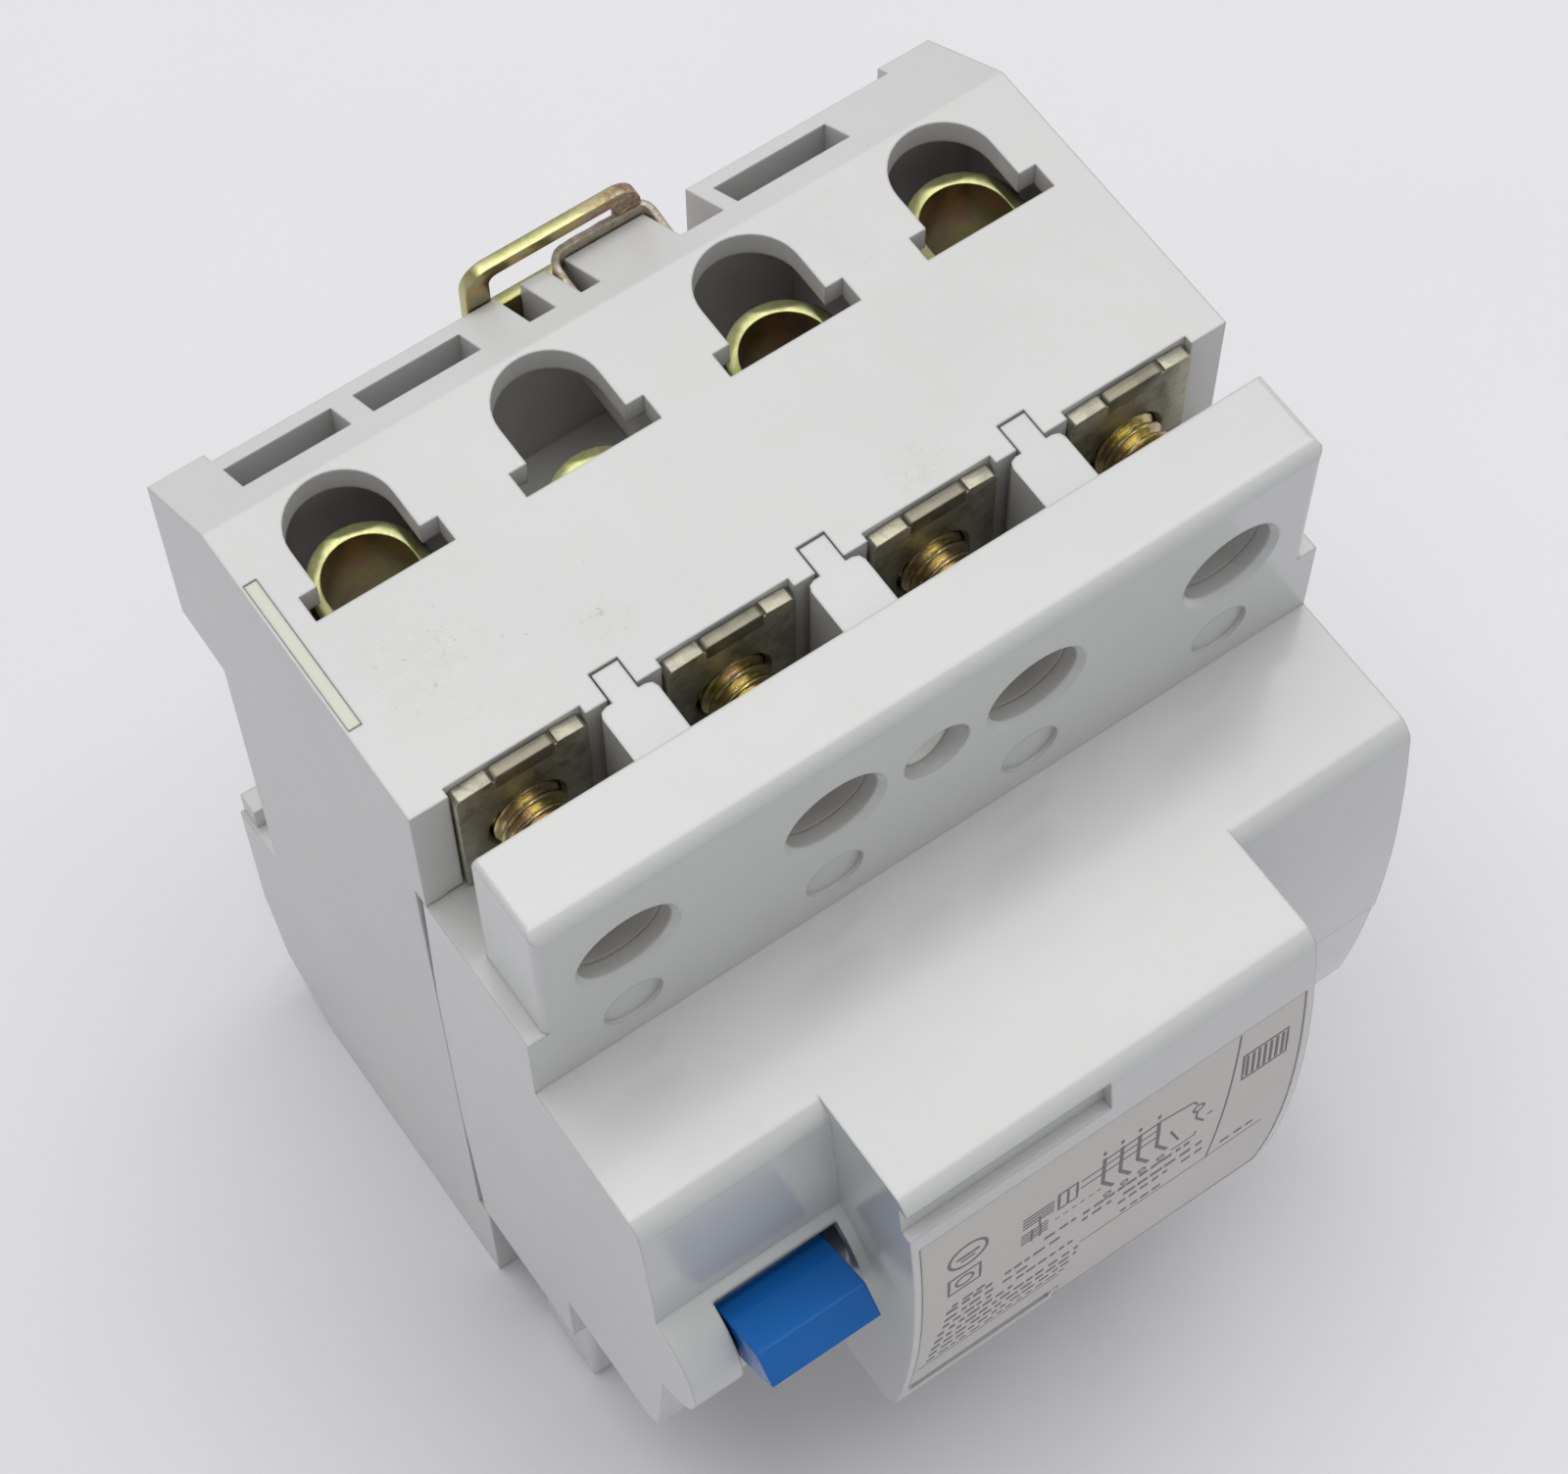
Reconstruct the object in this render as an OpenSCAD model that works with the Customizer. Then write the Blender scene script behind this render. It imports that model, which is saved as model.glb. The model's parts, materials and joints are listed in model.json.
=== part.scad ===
// Four-pole residual current device for a 35 mm mounting rail.
// Millimetres. +Z is up, the front (lever, label) faces -Y, the rail side +Y,
// X runs across the poles. It stands on its lower terminal end, z = 0.
// Depths called "b" are measured forward from the rear plane.

/* [Body] */
// Width across the four poles
width = 70; // [69.6:0.1:71]
// Height between the two terminal ends
height = 90; // [89:0.5:92]
// Depth from rear plane to the crown of the nose
depth = 74; // [73.5:0.5:75]
// Width of one pole
pitch = 17.5; // [17.4:0.1:17.6]
// Wall thickness of the front cover
wall = 1.8; // [1.6:0.1:2.0]
// Wall thickness of the terminal ends
end_wall = 2.4; // [2.2:0.1:2.5]
// Distance of the joint line from the rear plane
seam = 35; // [34.8:0.1:35.2]

/* [Rail seat] */
// Height of the rail recess
rail_h = 35; // [34.8:0.1:35.4]
// Depth of the rail recess
rail_d = 6.1; // [5.5:0.1:6.3]
// Lower edge of the rail recess
rail_z = 30.6; // [30.2:0.1:31]
// Height of the fixed hook over the rail edge
hook_h = 2.8; // [2:0.1:3]

/* [Front] */
// Height of the front window between the terminal strips
window = 45; // [44.6:0.1:45.4]
// Depth of the terminal strip face
strip_b = 49.6; // [49.4:0.1:50]
// Depth of the shoulder crown
shoulder_b = 64.3; // [64:0.1:64.6]
// Crown radius of the shoulder
shoulder_r = 150; // [140:5:170]
// Crown radius of the nose
nose_r = 130; // [120:5:150]
// Half width of the nose
nose_x = 18.5; // [18.4:0.1:18.6]
// Edge rounding of shoulder and nose
edge_r = 2; // [1.6:0.1:2.2]
// Half length of the terminal strips
strip_x = 33.6; // [33.4:0.1:34]
// Edge rounding of the terminal strips
strip_r = 1.4; // [1.2:0.1:1.6]
// Height of the upper terminal strip above its end face
strip_over = 1.7; // [1.5:0.1:1.9]

/* [Terminals] */
// Distance of the screw axis from the end face
screw_in = 8; // [7.9:0.1:8.1]
// Radius of the screwdriver holes
driver_r = 3.9; // [3.85:0.05:4]
// Screw thread radius
screw_r = 2.9; // [2.8:0.05:2.95]
// Radius of the cable arch in the end faces
arch_r = 4.25; // [4:0.05:4.4]

/* [Lever] */
// Depth of the lever axis
lever_b = 61.3; // [61.2:0.1:61.4]
// Radius of the round cover over the lever hub
bulge_r = 7.6; // [7.5:0.1:7.8]
// Lever angle above the horizontal
lever_up = 27; // [24:1:28]

/* [Hidden] */
lever_x0 = -30.3;
lever_x1 = -20.5;
mid = height / 2;
sh_top = mid + window / 2;
z_led = 76;
z_screw = height - screw_in;
fn = 64;
grey = [0.85, 0.86, 0.86];
white = [0.90, 0.90, 0.89];
steel = [0.62, 0.63, 0.62];
olive = [0.36, 0.35, 0.28];
zinc = [0.72, 0.68, 0.36];
copper = [0.74, 0.45, 0.28];
silver = [0.80, 0.80, 0.80];
blue = [0.08, 0.29, 0.60];
ivory = [0.86, 0.86, 0.78];
dark = [0.20, 0.20, 0.21];

function Y(b) = depth / 2 - b;
function px(i) = (i - 2.5) * pitch;
function crown(pk, r, z) = pk - r + sqrt(r * r - pow(z - mid, 2));

// box given by x range, depth range and z range
module bx(x0, x1, b0, b1, z0, z1) {
  translate([x0, Y(b1), z0]) cube([x1 - x0, b1 - b0, z1 - z0]);
}
// 2-D shape in (b, z) turned into a prism along X
module prof(x0, x1) {
  translate([x0, 0, 0]) rotate([90, 0, 90]) linear_extrude(x1 - x0) children();
}
module pg(p) { polygon([for (q = p) [Y(q[0]), q[1]]]); }
module dot(b, z, r) { translate([Y(b), z]) circle(r = r, $fn = fn); }
// round rod or bore along X, and along Y
module rod_x(x0, x1, b, z, r) {
  translate([x0, Y(b), z]) rotate([0, 90, 0]) cylinder(r = r, h = x1 - x0, $fn = fn);
}
module rod_y(x, b0, b1, z, r) {
  translate([x, Y(b0), z]) rotate([90, 0, 0]) cylinder(r = r, h = b1 - b0, $fn = fn);
}
// copy for the lower end, mirrored about mid height
module low() { translate([0, 0, height]) mirror([0, 0, 1]) children(); }
module both() { children(); low() children(); }
// wire ring around an axis along Y
module ring_y(x, b, z, r, w) {
  translate([x, Y(b), z]) rotate([90, 0, 0])
    rotate_extrude($fn = 48) translate([r, 0]) circle(r = w, $fn = 16);
}

// ---- outer outlines in (b, z) ----
module rear_outline() {
  pg([[0, rail_z + rail_h], [0, height - 6], [9.2, height], [36.5, height], [36.5, z_led + 0.2],
      [seam, z_led + 0.2], [seam, height - z_led - 0.2], [36.5, height - z_led - 0.2], [36.5, 0],
      [9.5, 0], [2.2, 5], [0, 14], [0, rail_z], [rail_d, rail_z + 0.5],
      [rail_d, rail_z + rail_h - 0.4]]);
}
module crown_disc(pk, r) { translate([Y(pk - r), mid]) circle(r = r, $fn = 360); }
// front part between the strips: crowned face, rounded corners
module crowned(b0, pk, r) {
  bt = crown(pk, r, sh_top - edge_r) - edge_r;
  intersection() {
    pg([[b0, sh_top], [bt, sh_top], [bt + edge_r + 0.1, sh_top - edge_r],
        [bt + 6, sh_top - edge_r], [bt + 6, height - sh_top + edge_r],
        [bt + edge_r + 0.1, height - sh_top + edge_r], [bt, height - sh_top], [b0, height - sh_top]]);
    crown_disc(pk, r);
  }
  dot(bt, sh_top - edge_r, edge_r);
  dot(bt, height - sh_top + edge_r, edge_r);
}
module crowned_inner(b0, pk, r) {
  intersection() {
    pg([[b0, sh_top - wall], [pk + 2, sh_top - wall], [pk + 2, height - sh_top + wall], [b0, height - sh_top + wall]]);
    crown_disc(pk - wall, r - wall);
  }
}
module strip_outline(top) {
  pg([[42.25, z_led - 1], [42.25, top], [strip_b - strip_r, top], [strip_b, top - strip_r], [strip_b, z_led - 1]]);
  dot(strip_b - strip_r, top - strip_r, strip_r);
}
// terminal strip with rounded end corners
module strip(top) {
  intersection() {
    prof(-strip_x, strip_x) strip_outline(top);
    translate([0, 0, z_led - 2]) linear_extrude(top - z_led + 4) union() {
      translate([-strip_x + 0.6, Y(50)]) square([2 * strip_x - 1.2, 9]);
      translate([-strip_x, Y(strip_b - 0.6)]) square([2 * strip_x, 9]);
      for (s = [-1, 1]) translate([s * (strip_x - 0.6), Y(strip_b - 0.6)]) circle(r = 0.6, $fn = 32);
    }
    translate([0, Y(41), 0]) rotate([90, 0, 0]) linear_extrude(10) union() {
      translate([-strip_x + 0.6, z_led - 2]) square([2 * strip_x - 1.2, top - z_led + 4]);
      translate([-strip_x, z_led - 2]) square([2 * strip_x, top - z_led + 1.4]);
      for (s = [-1, 1]) translate([s * (strip_x - 0.6), top - 0.6]) circle(r = 0.6, $fn = 32);
    }
  }
}
// cable arch in the end face, 2-D in (x, y)
module arch2d() {
  translate([0, Y(9.65 + arch_r)]) circle(r = arch_r, $fn = fn);
  translate([-arch_r, Y(17.6)]) square([2 * arch_r, 17.6 - 9.65 - arch_r]);
  translate([-5.75, Y(19.75)]) square([11.5, 2.35]);
}

// ---- rear housing ----
module rear_end_cuts() {
  for (i = [1:4]) translate([px(i), 0, height - end_wall - 1]) linear_extrude(end_wall + 2) arch2d();
  // seats of the terminal plates in the edge of the end wall
  for (i = [1:4]) bx(px(i) - 5.6, px(i) + 5.6, 35.75, 40, height - end_wall - 1, height + 1);
  // notches for the partition tabs
  for (i = [1:3]) bx(px(i) + pitch / 2 - 1.35, px(i) + pitch / 2 + 1.1, 34.05, 40, z_led, height + 1);
}
module rear_housing() {
  color(grey) difference() {
    union() {
      difference() {
        prof(-width / 2, width / 2) rear_outline();
        // main cavity
        difference() {
          bx(-width / 2 + wall, width / 2 - wall, 8, 40, end_wall, height - end_wall);
          // partition walls between the poles in the terminal rooms
          for (i = [1:3]) {
            bx(px(i) + pitch / 2 - 0.8, px(i) + pitch / 2 + 0.8, 7, seam, 60, height);
            bx(px(i) + pitch / 2 - 0.8, px(i) + pitch / 2 + 0.8, 7, seam, 0, 18);
          }
          // floors of the terminal rooms
          both() bx(-width / 2, width / 2, 7, seam, 72, 73.5);
          // boss of the cover screw
          both() rod_y(0, 7, seam, z_screw, 3.2);
          // slide rails of the contact carrier
          for (s = [0, 1]) mirror([s, 0, 0]) {
            bx(32.1, width / 2, 24, seam, 48, 49.9);
            bx(32.1, width / 2, 24, seam, 56.6, 58);
          }
          // pillars beside the terminal plates
          both() for (i = [1:4]) for (s = [-1, 1])
            bx(px(i) + s * 6.4 - 0.8, px(i) + s * 6.4 + 0.8, 33, 36.5, z_led + 0.4, height);
          // ledge behind each terminal plate
          both() for (i = [1:4]) bx(px(i) - 6, px(i) + 6, 34.4, 35.75, 73.5, 77);
        }
      }
      // fixed hook over the lower rail edge
      bx(-34.6, 34.6, 0, 2.2, rail_z - 1, rail_z + hook_h);
    }
    both() rear_end_cuts();
    // shallow bay for the latch between the side lips
    bx(-30.2, 30.2, -1, 1.3, rail_z + rail_h - 1, height);
    // latch channels
    bx(-5.7, -3.45, 0, 6.5, rail_z + rail_h - 1, height);
    bx(-1.2, 0.45, 0, 6.5, rail_z + rail_h - 1, height);
    bx(7.6, 11.45, 0, 6.5, rail_z + rail_h - 1, height);
    // rectangular pockets in the rear slope
    bx(-30.1, -21, 3.1, 6.4, 72, height);
    bx(-19.1, -9.9, 3.1, 6.4, 72, height);
    bx(12.8, 23, 3.1, 6.4, 72, height);
    // busbar slots in the room floors
    both() for (i = [1:4]) bx(px(i) - 3.2, px(i) + 3.2, 21.3, 23.2, 71, 74.5);
    // pilot bore of the cover screw
    both() rod_y(0, 17, 37, z_screw, 1.55);
    // bed of the marker strip
    bx(-34.75, -33.65, 14.4, 28.4, height - 0.4, height + 1);
  }
}

// ---- front cover ----
module cover_sides() {
  pg([[36, z_led], [strip_b, z_led], [strip_b, height - z_led], [36, height - z_led],
      [seam + 0.1, 33], [seam + 0.1, 57]]);
}
module front_cover() {
  color(white) difference() {
    union() {
      difference() {
        union() {
          prof(-width / 2, width / 2) cover_sides();
          prof(-width / 2, width / 2) crowned(strip_b - 3, shoulder_b, shoulder_r);
          prof(-nose_x, nose_x) crowned(strip_b - 3, depth, nose_r);
          prof(-width / 2, -nose_x + 1) dot(lever_b, mid, bulge_r);
        }
        // hollow
        prof(-width / 2 + wall, width / 2 - wall) union() {
          pg([[30, z_led - 1.5], [strip_b - wall, z_led - 1.5], [strip_b - wall, height - z_led + 1.5], [30, height - z_led + 1.5]]);
          crowned_inner(strip_b - 4, shoulder_b, shoulder_r);
        }
        prof(-nose_x + wall, nose_x - wall) crowned_inner(strip_b - 4, depth, nose_r);
        prof(-width / 2 + wall, -nose_x - 0.4) dot(lever_b, mid, bulge_r - 1.4);
      }
      // terminal strips
      strip(height + strip_over);
      low() strip(height);
      // partitions with their tabs
      both() for (i = [1:3]) {
        xp = px(i) + pitch / 2;
        translate([xp, 0, z_led - 1]) linear_extrude(height - z_led + 1)
          polygon([[-2.45, Y(43)], [-2.45, Y(37.6)], [-2.25, Y(37.1)], [-1.75, Y(36.9)],
                   [1.5, Y(36.9)], [2, Y(37.1)], [2.2, Y(37.6)], [2.2, Y(43)]]);
        bx(xp - 1.2, xp + 0.95, 34.3, 37.5, z_led + 2, height);
      }
      // bearing cheek of the lever axle
      bx(-19.05, -nose_x + wall, 52, 66, mid - 4, mid + 4);
      // pocket of the test key
      bx(nose_x - 0.5, width / 2 - 0.5, 53.5, 55, height - sh_top + 0.5, 40.3);
      bx(nose_x - 0.5, width / 2 - 0.5, 54, 63.2, 38.7, 40.3);
    }
    // lever slot in the round cover
    difference() {
      bx(-30.6, -19.4, lever_b + 2.5, lever_b + 9, mid - 6.55, mid + 6.55);
      bx(-40, -10, 0, lever_b + 2.5, 0, 90);
    }
    // lever axle bores
    rod_x(-34.2, -33, lever_b, mid, 1.53);
    rod_x(-19.2, -16, lever_b, mid, 1.53);
    // opening for the test key at the corner
    bx(19.1, width / 2 - wall, 55, 70, height - sh_top + wall, 38.7);
    bx(19.1, width / 2 + 1, 59.2, 70, 20, 38.7);
    rod_y(27, 52, 60, 30.6, 2.08);
    // screwdriver holes, cover screw holes and the round marks
    both() {
      for (i = [1:4]) {
        rod_y(px(i), 42, 51, z_screw, driver_r);
        // room for the screw head behind the front wall of the strip
        rod_y(px(i), 41, strip_b - 1.8, z_screw, 5.2);
        translate([px(i), Y(strip_b - 0.55), z_screw]) rotate([90, 0, 0])
          cylinder(r1 = driver_r - 0.05, r2 = driver_r + 0.55, h = 0.6, $fn = fn);
      }
      for (i = [1:4]) rod_y(px(i), strip_b - 0.4, 51, 72.5, 2.5);
      rod_y(0, 44.5, 51, z_screw, 2.85);
      rod_y(0, 33, 45, z_screw, 1.7);
    }
    // long pocket at the upper left of the nose
    prof(-nose_x - 1, -0.4) difference() {
      pg([[66, 62.6], [80, 62.6], [80, 66.2], [66, 66.2]]);
      crown_disc(depth - 1, nose_r - 1);
    }
    // bed of the label plate
    prof(-3, 17.8) difference() {
      pg([[66, 24.6], [80, 24.6], [80, 60.6], [66, 60.6]]);
      crown_disc(depth - 0.8, nose_r - 0.8);
    }
    prof(-17.8, -2.9) difference() {
      pg([[66, 28.4], [80, 28.4], [80, 60.6], [66, 60.6]]);
      crown_disc(depth - 0.8, nose_r - 0.8);
    }
    // lifting notch under the label
    prof(-17.4, -3.6) difference() {
      pg([[66, 26.4], [80, 26.4], [80, 28.5], [66, 28.5]]);
      crown_disc(depth - 1.2, nose_r - 1.2);
    }
  }
}
module label_plate() {
  color(ivory) difference() {
    prof(-17.7, 17.7) intersection() {
      pg([[66, 24.7], [80, 24.7], [80, 60.5], [66, 60.5]]);
      difference() { crown_disc(depth - 0.05, nose_r - 0.05); crown_disc(depth - 0.78, nose_r - 0.78); }
    }
    bx(-20, -2.8, 60, 80, 20, 28.5);
  }
}
module marker_strip() { color(ivory) bx(-34.7, -33.7, 14.5, 28.3, height - 0.38, height - 0.03); }
module seal_plugs() { color(white) both() rod_y(0, 47, 48.6, z_screw, 2.83); }
module cover_screws() {
  color(steel) both() {
    rod_y(0, 18, 44.6, z_screw, 1.5);
    difference() {
      rod_y(0, 44.5, 46.4, z_screw, 2.6);
      bx(-0.35, 0.35, 45.7, 47, z_screw - 2, z_screw + 2);
      bx(-2, 2, 45.7, 47, z_screw - 0.35, z_screw + 0.35);
    }
  }
}

// ---- lever ----
module toggle_lever() {
  color(blue) difference() {
    union() {
      translate([lever_x0, Y(lever_b), mid]) rotate([-lever_up, 0, 0]) rotate([90, 0, 90])
        linear_extrude(lever_x1 - lever_x0) {
          circle(r = bulge_r - 1.8, $fn = fn);
          polygon([[0, 2.6], [-5.5, 2.5], [-11.2, 2.0], [-12, -1.0], [-9.6, -1.7], [-5.5, -2.5], [0, -2.6]]);
        }
      // crank pin for the drive link
      rod_x(lever_x1 - 2, -19.3, lever_b - 4.455, mid + 2.27, 0.65);
    }
    rod_x(lever_x0 - 1, lever_x1 + 1, lever_b, mid, 1.55);
  }
}
module toggle_axle() { color(steel) rod_x(-34.1, -16.8, lever_b, mid, 1.5); }
module toggle_spring() {
  color(steel) for (k = [0:2])
    translate([-32.6 + k * 0.75, Y(lever_b), mid]) rotate([0, 90, 0])
      rotate_extrude($fn = 48) translate([2.3, 0]) circle(r = 0.32, $fn = 16);
}
module drive_link() {
  color(steel) translate([-20.2, 0, 0]) rotate([90, 0, 90]) linear_extrude(0.8) difference() {
    union() {
      dot(lever_b - 4.455, mid + 2.27, 1.7);
      dot(lever_b - 20.455, mid + 2.27, 2.4);
      pg([[lever_b - 20.455, mid + 3.87], [lever_b - 4.455, mid + 3.87], [lever_b - 4.455, mid + 0.67], [lever_b - 20.455, mid + 0.67]]);
    }
    dot(lever_b - 4.455, mid + 2.27, 0.72);
    dot(lever_b - 20.455, mid + 2.27, 1.5);
  }
}

// ---- test key ----
module test_button() {
  color(white) {
    prof(19.3, 34.8) {
      intersection() {
        pg([[61, 22.7], [61.2, 22.6], [66, 25.6], [66, 38.5], [61, 38.5]]);
        crown_disc(shoulder_b - 0.05, shoulder_r - 0.05);
      }
    }
    difference() {
      bx(19.3, 32.9, 57.2, 61.5, 24.6, 38.5);
      bx(20.5, 31.7, 56, 61, 25.8, 37.3);
    }
    rod_y(27, 51, 62, 30.6, 2.0);
  }
}
module test_button_spring() { color(steel) for (k = [0:4]) ring_y(27, 55.4 + k * 1.3, 30.6, 2.9, 0.32); }
module test_contact() {
  color(copper) {
    bx(24, 30, 48.9, 49.3, 24.35, 34);
    bx(24, 30, 49.3, 52.5, 24.35, 24.75);
  }
}
module test_resistor() {
  color(ivory) rod_x(14, 24, 42, 30, 1.6);
  color(steel) { rod_x(11, 14.1, 42, 30, 0.4); rod_x(23.9, 27, 42, 30, 0.4); bx(26.6, 27.4, 42, 48.9, 29.6, 30.4); }
}

// ---- rail latch ----
module rail_latch() {
  color(zinc) difference() {
    translate([0, Y(1.2), 0]) rotate([90, 0, 0]) translate([0, 0, -1.1])
      linear_extrude(1.1) difference() {
        union() {
          polygon([[-8, 63.2], [7.6, 63.2], [7.6, 86.5], [5.4, 88.7], [-5.8, 88.7], [-8, 86.5]]);
          translate([5.4, 86.5]) circle(r = 2.2, $fn = fn);
          translate([-5.8, 86.5]) circle(r = 2.2, $fn = fn);
        }
        polygon([[-5.9, 83.3], [5.5, 83.3], [5.5, 86.9], [4.9, 87.5], [-5.3, 87.5], [-5.9, 86.9]]);
        translate([0.2, 66.6]) square([5, 1.6], center = true);
      }
    // half lap for the spring clip
    bx(5, 8, 0.54, 2, 83.5, 86.1);
  }
}
// spring clip bent around the middle block, lapped to the latch loop
module rail_latch_spring() {
  q = [[-0.7, 6], [-0.7, 2.4], [-0.45, 1.65], [0.1, 1.1], [0.9, 0.88], [7.3, 0.88], [7.85, 1.1], [8.1, 1.6], [8.1, 5]];
  color(zinc) translate([0, 0, 83.6]) linear_extrude(2.4) for (k = [0:7]) {
    d = [q[k + 1][0] - q[k][0], q[k + 1][1] - q[k][1]];
    translate([q[k][0], Y(q[k][1])]) rotate([0, 0, atan2(-d[1], d[0])]) union() {
      translate([0, -0.32]) square([norm(d), 0.64]);
      circle(r = 0.32, $fn = 16);
    }
  }
}

// ---- terminals ----
module term_screw(i, in) {
  color(zinc) translate([px(i), Y(0), z_screw]) rotate([90, 0, 0]) difference() {
    union() {
      translate([0, 0, 23.4]) cylinder(r = screw_r, h = 20 - in, $fn = fn);
      translate([0, 0, 43 - in]) cylinder(r = 3.5, h = 3.4, $fn = fn);
    }
    translate([-0.5, -4, 45.2 - in]) cube([1, 8, 3]);
    translate([-2.1, -0.45, 45.0 - in]) cube([4.2, 0.9, 3]);
  }
}
// closed strap cage: arch to the rear, thick threaded plate at the front
module cage(i, b) {
  color(zinc) translate([px(i), Y(b), 0]) difference() {
    translate([0, 0, z_screw - 4.8]) linear_extrude(9.4) difference() {
      union() {
        translate([0, -4.7]) circle(r = 4.7, $fn = fn);
        translate([-4.7, -16.3]) square([9.4, 11.6]);
      }
      translate([0, -4.7]) circle(r = 3.6, $fn = fn);
      translate([-3.6, -13.7]) square([7.2, 9]);
    }
    translate([0, -13, z_screw]) rotate([90, 0, 0]) cylinder(r = screw_r + 0.1, h = 5, $fn = fn);
  }
}
module term_plates() {
  color(olive) for (i = [1:4]) difference() {
    union() {
      bx(px(i) - 5.45, px(i) + 5.45, 35.8, 37, z_led + 0.5, height - 0.5);
      bx(px(i) - 2.5, px(i) + 2.5, 35.8, 37, z_led + 1, height - 0.25);
    }
    rod_y(px(i), 35, 38, z_screw, screw_r + 0.1);
  }
}
module terminal_plates_upper() { term_plates(); }
module terminal_plates_lower() { low() term_plates(); }
module screw_upper_1() { term_screw(1, 0); }
module screw_upper_2() { term_screw(2, 0); }
module screw_upper_3() { term_screw(3, 0); }
module screw_upper_4() { term_screw(4, 3.8); }
module screw_lower_1() { low() term_screw(1, 0); }
module screw_lower_2() { low() term_screw(2, 0); }
module screw_lower_3() { low() term_screw(3, 0); }
module screw_lower_4() { low() term_screw(4, 0); }
module cage_upper_1() { cage(1, 12.4); }
module cage_upper_2() { cage(2, 16.9); }
module cage_upper_3() { cage(3, 13.9); }
module cage_upper_4() { cage(4, 12.2); }
module cage_lower_1() { low() cage(1, 12.4); }
module cage_lower_2() { low() cage(2, 12.4); }
module cage_lower_3() { low() cage(3, 12.4); }
module cage_lower_4() { low() cage(4, 12.4); }

// ---- current path ----
module busbars_upper() { color(copper) for (i = [1:4]) bx(px(i) - 3, px(i) + 3, 21.5, 23, 57, 86.4); }
module primary_conductors() {
  color(copper) for (i = [1:4]) {
    bj = (i == 1 || i == 4) ? 19.5 : 24.5;
    xt = i < 2.5 ? -3 : 3;
    xa = min(px(i), xt) - 1; xb = max(px(i), xt) + 1;
    bx(px(i) - 2.5, px(i) + 2.5, 21.5, 23, 40, 49.5);
    bx(px(i) - 1, px(i) + 1, min(bj - 0.8, 21.5), max(bj + 0.8, 23), 40, 41.6);
    bx(xa, xb, bj - 0.8, bj + 0.8, 40, 41.6);
    bx(xt - 1, xt + 1, bj - 0.8, bj + 0.8, 20.4, 41.6);
    bx(xa, xb, bj - 0.8, bj + 0.8, 20.4, 22);
    bx(px(i) - 1, px(i) + 1, min(bj - 0.8, 21.5), max(bj + 0.8, 23), 20.4, 22);
    bx(px(i) - 3, px(i) + 3, 21.5, 23, 3.6, 22);
  }
}
module fixed_contacts() {
  color(silver) for (i = [1:4]) for (z = [47, 59.5]) rod_y(px(i), 23, 23.8, z, 1.6);
}
module moving_contacts() {
  color(copper) for (i = [1:4]) {
    bx(px(i) - 2.5, px(i) + 2.5, 24.9, 26.1, 45, 61.5);
    for (z = [47, 59.5]) rod_y(px(i), 23.85, 24.95, z, 1.6);
  }
}
module contact_springs() {
  color(steel) for (i = [1:4]) for (k = [0:2]) ring_y(px(i), 26.6 + k * 0.95, 53.25, 1.9, 0.28);
}
module contact_carrier() {
  color(dark) {
    difference() {
      bx(-32.6, 32.6, 29, 32, 50, 56.5);
      for (i = [1:4]) rod_y(px(i), 28, 29.4, 53.25, 2.6);
    }
    for (i = [1:4]) {
      bx(px(i) - 4.4, px(i) - 2.9, 25, 29.5, 50.5, 56);
      bx(px(i) + 2.9, px(i) + 4.4, 25, 29.5, 50.5, 56);
    }
    bx(-18.8, -17.3, 31, 42.8, 45, 53);
    rod_x(-20.5, -18, lever_b - 20.455, mid + 2.27, 0.8);
  }
}
module opening_springs() {
  color(steel) for (x = [-17.5, 17.5]) for (k = [0:9]) ring_y(x, 8.6 + k * 2.2, 53.25, 2.4, 0.35);
}
module arc_plates() {
  color(steel) for (i = [1:4]) for (k = [0:2])
    bx(max(px(i) - 7.85, -33.1), min(px(i) + 7.85, 33.1), 26, 34, 63.5 + k * 2.4, 64.3 + k * 2.4);
}

// ---- residual current transformer ----
module transformer_core() {
  color(steel) translate([0, Y(22), 27.6]) difference() {
    cylinder(r = 11.4, h = 6.8, $fn = fn);
    translate([0, 0, -1]) cylinder(r = 7.6, h = 9, $fn = fn);
  }
}
module transformer_winding() {
  color(copper) translate([0, Y(22), 0]) for (a = [0:20:340]) rotate([0, 0, a + 10])
    difference() {
      translate([6.7, -0.6, 26.7]) cube([5.7, 1.2, 8.6]);
      translate([7.45, -1, 27.5]) cube([4.05, 2, 7]);
    }
}
module transformer_cradle() {
  color(dark) difference() {
    union() {
      bx(-13, 13, 8.05, 34.5, 24.6, 26.2);
      bx(-14.4, -12.9, 8.05, 34.5, 24.6, 34);
      bx(12.9, 14.4, 8.05, 34.5, 24.6, 34);
    }
    translate([0, Y(22), 20]) cylinder(r = 6.2, h = 10, $fn = fn);
  }
}

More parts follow.
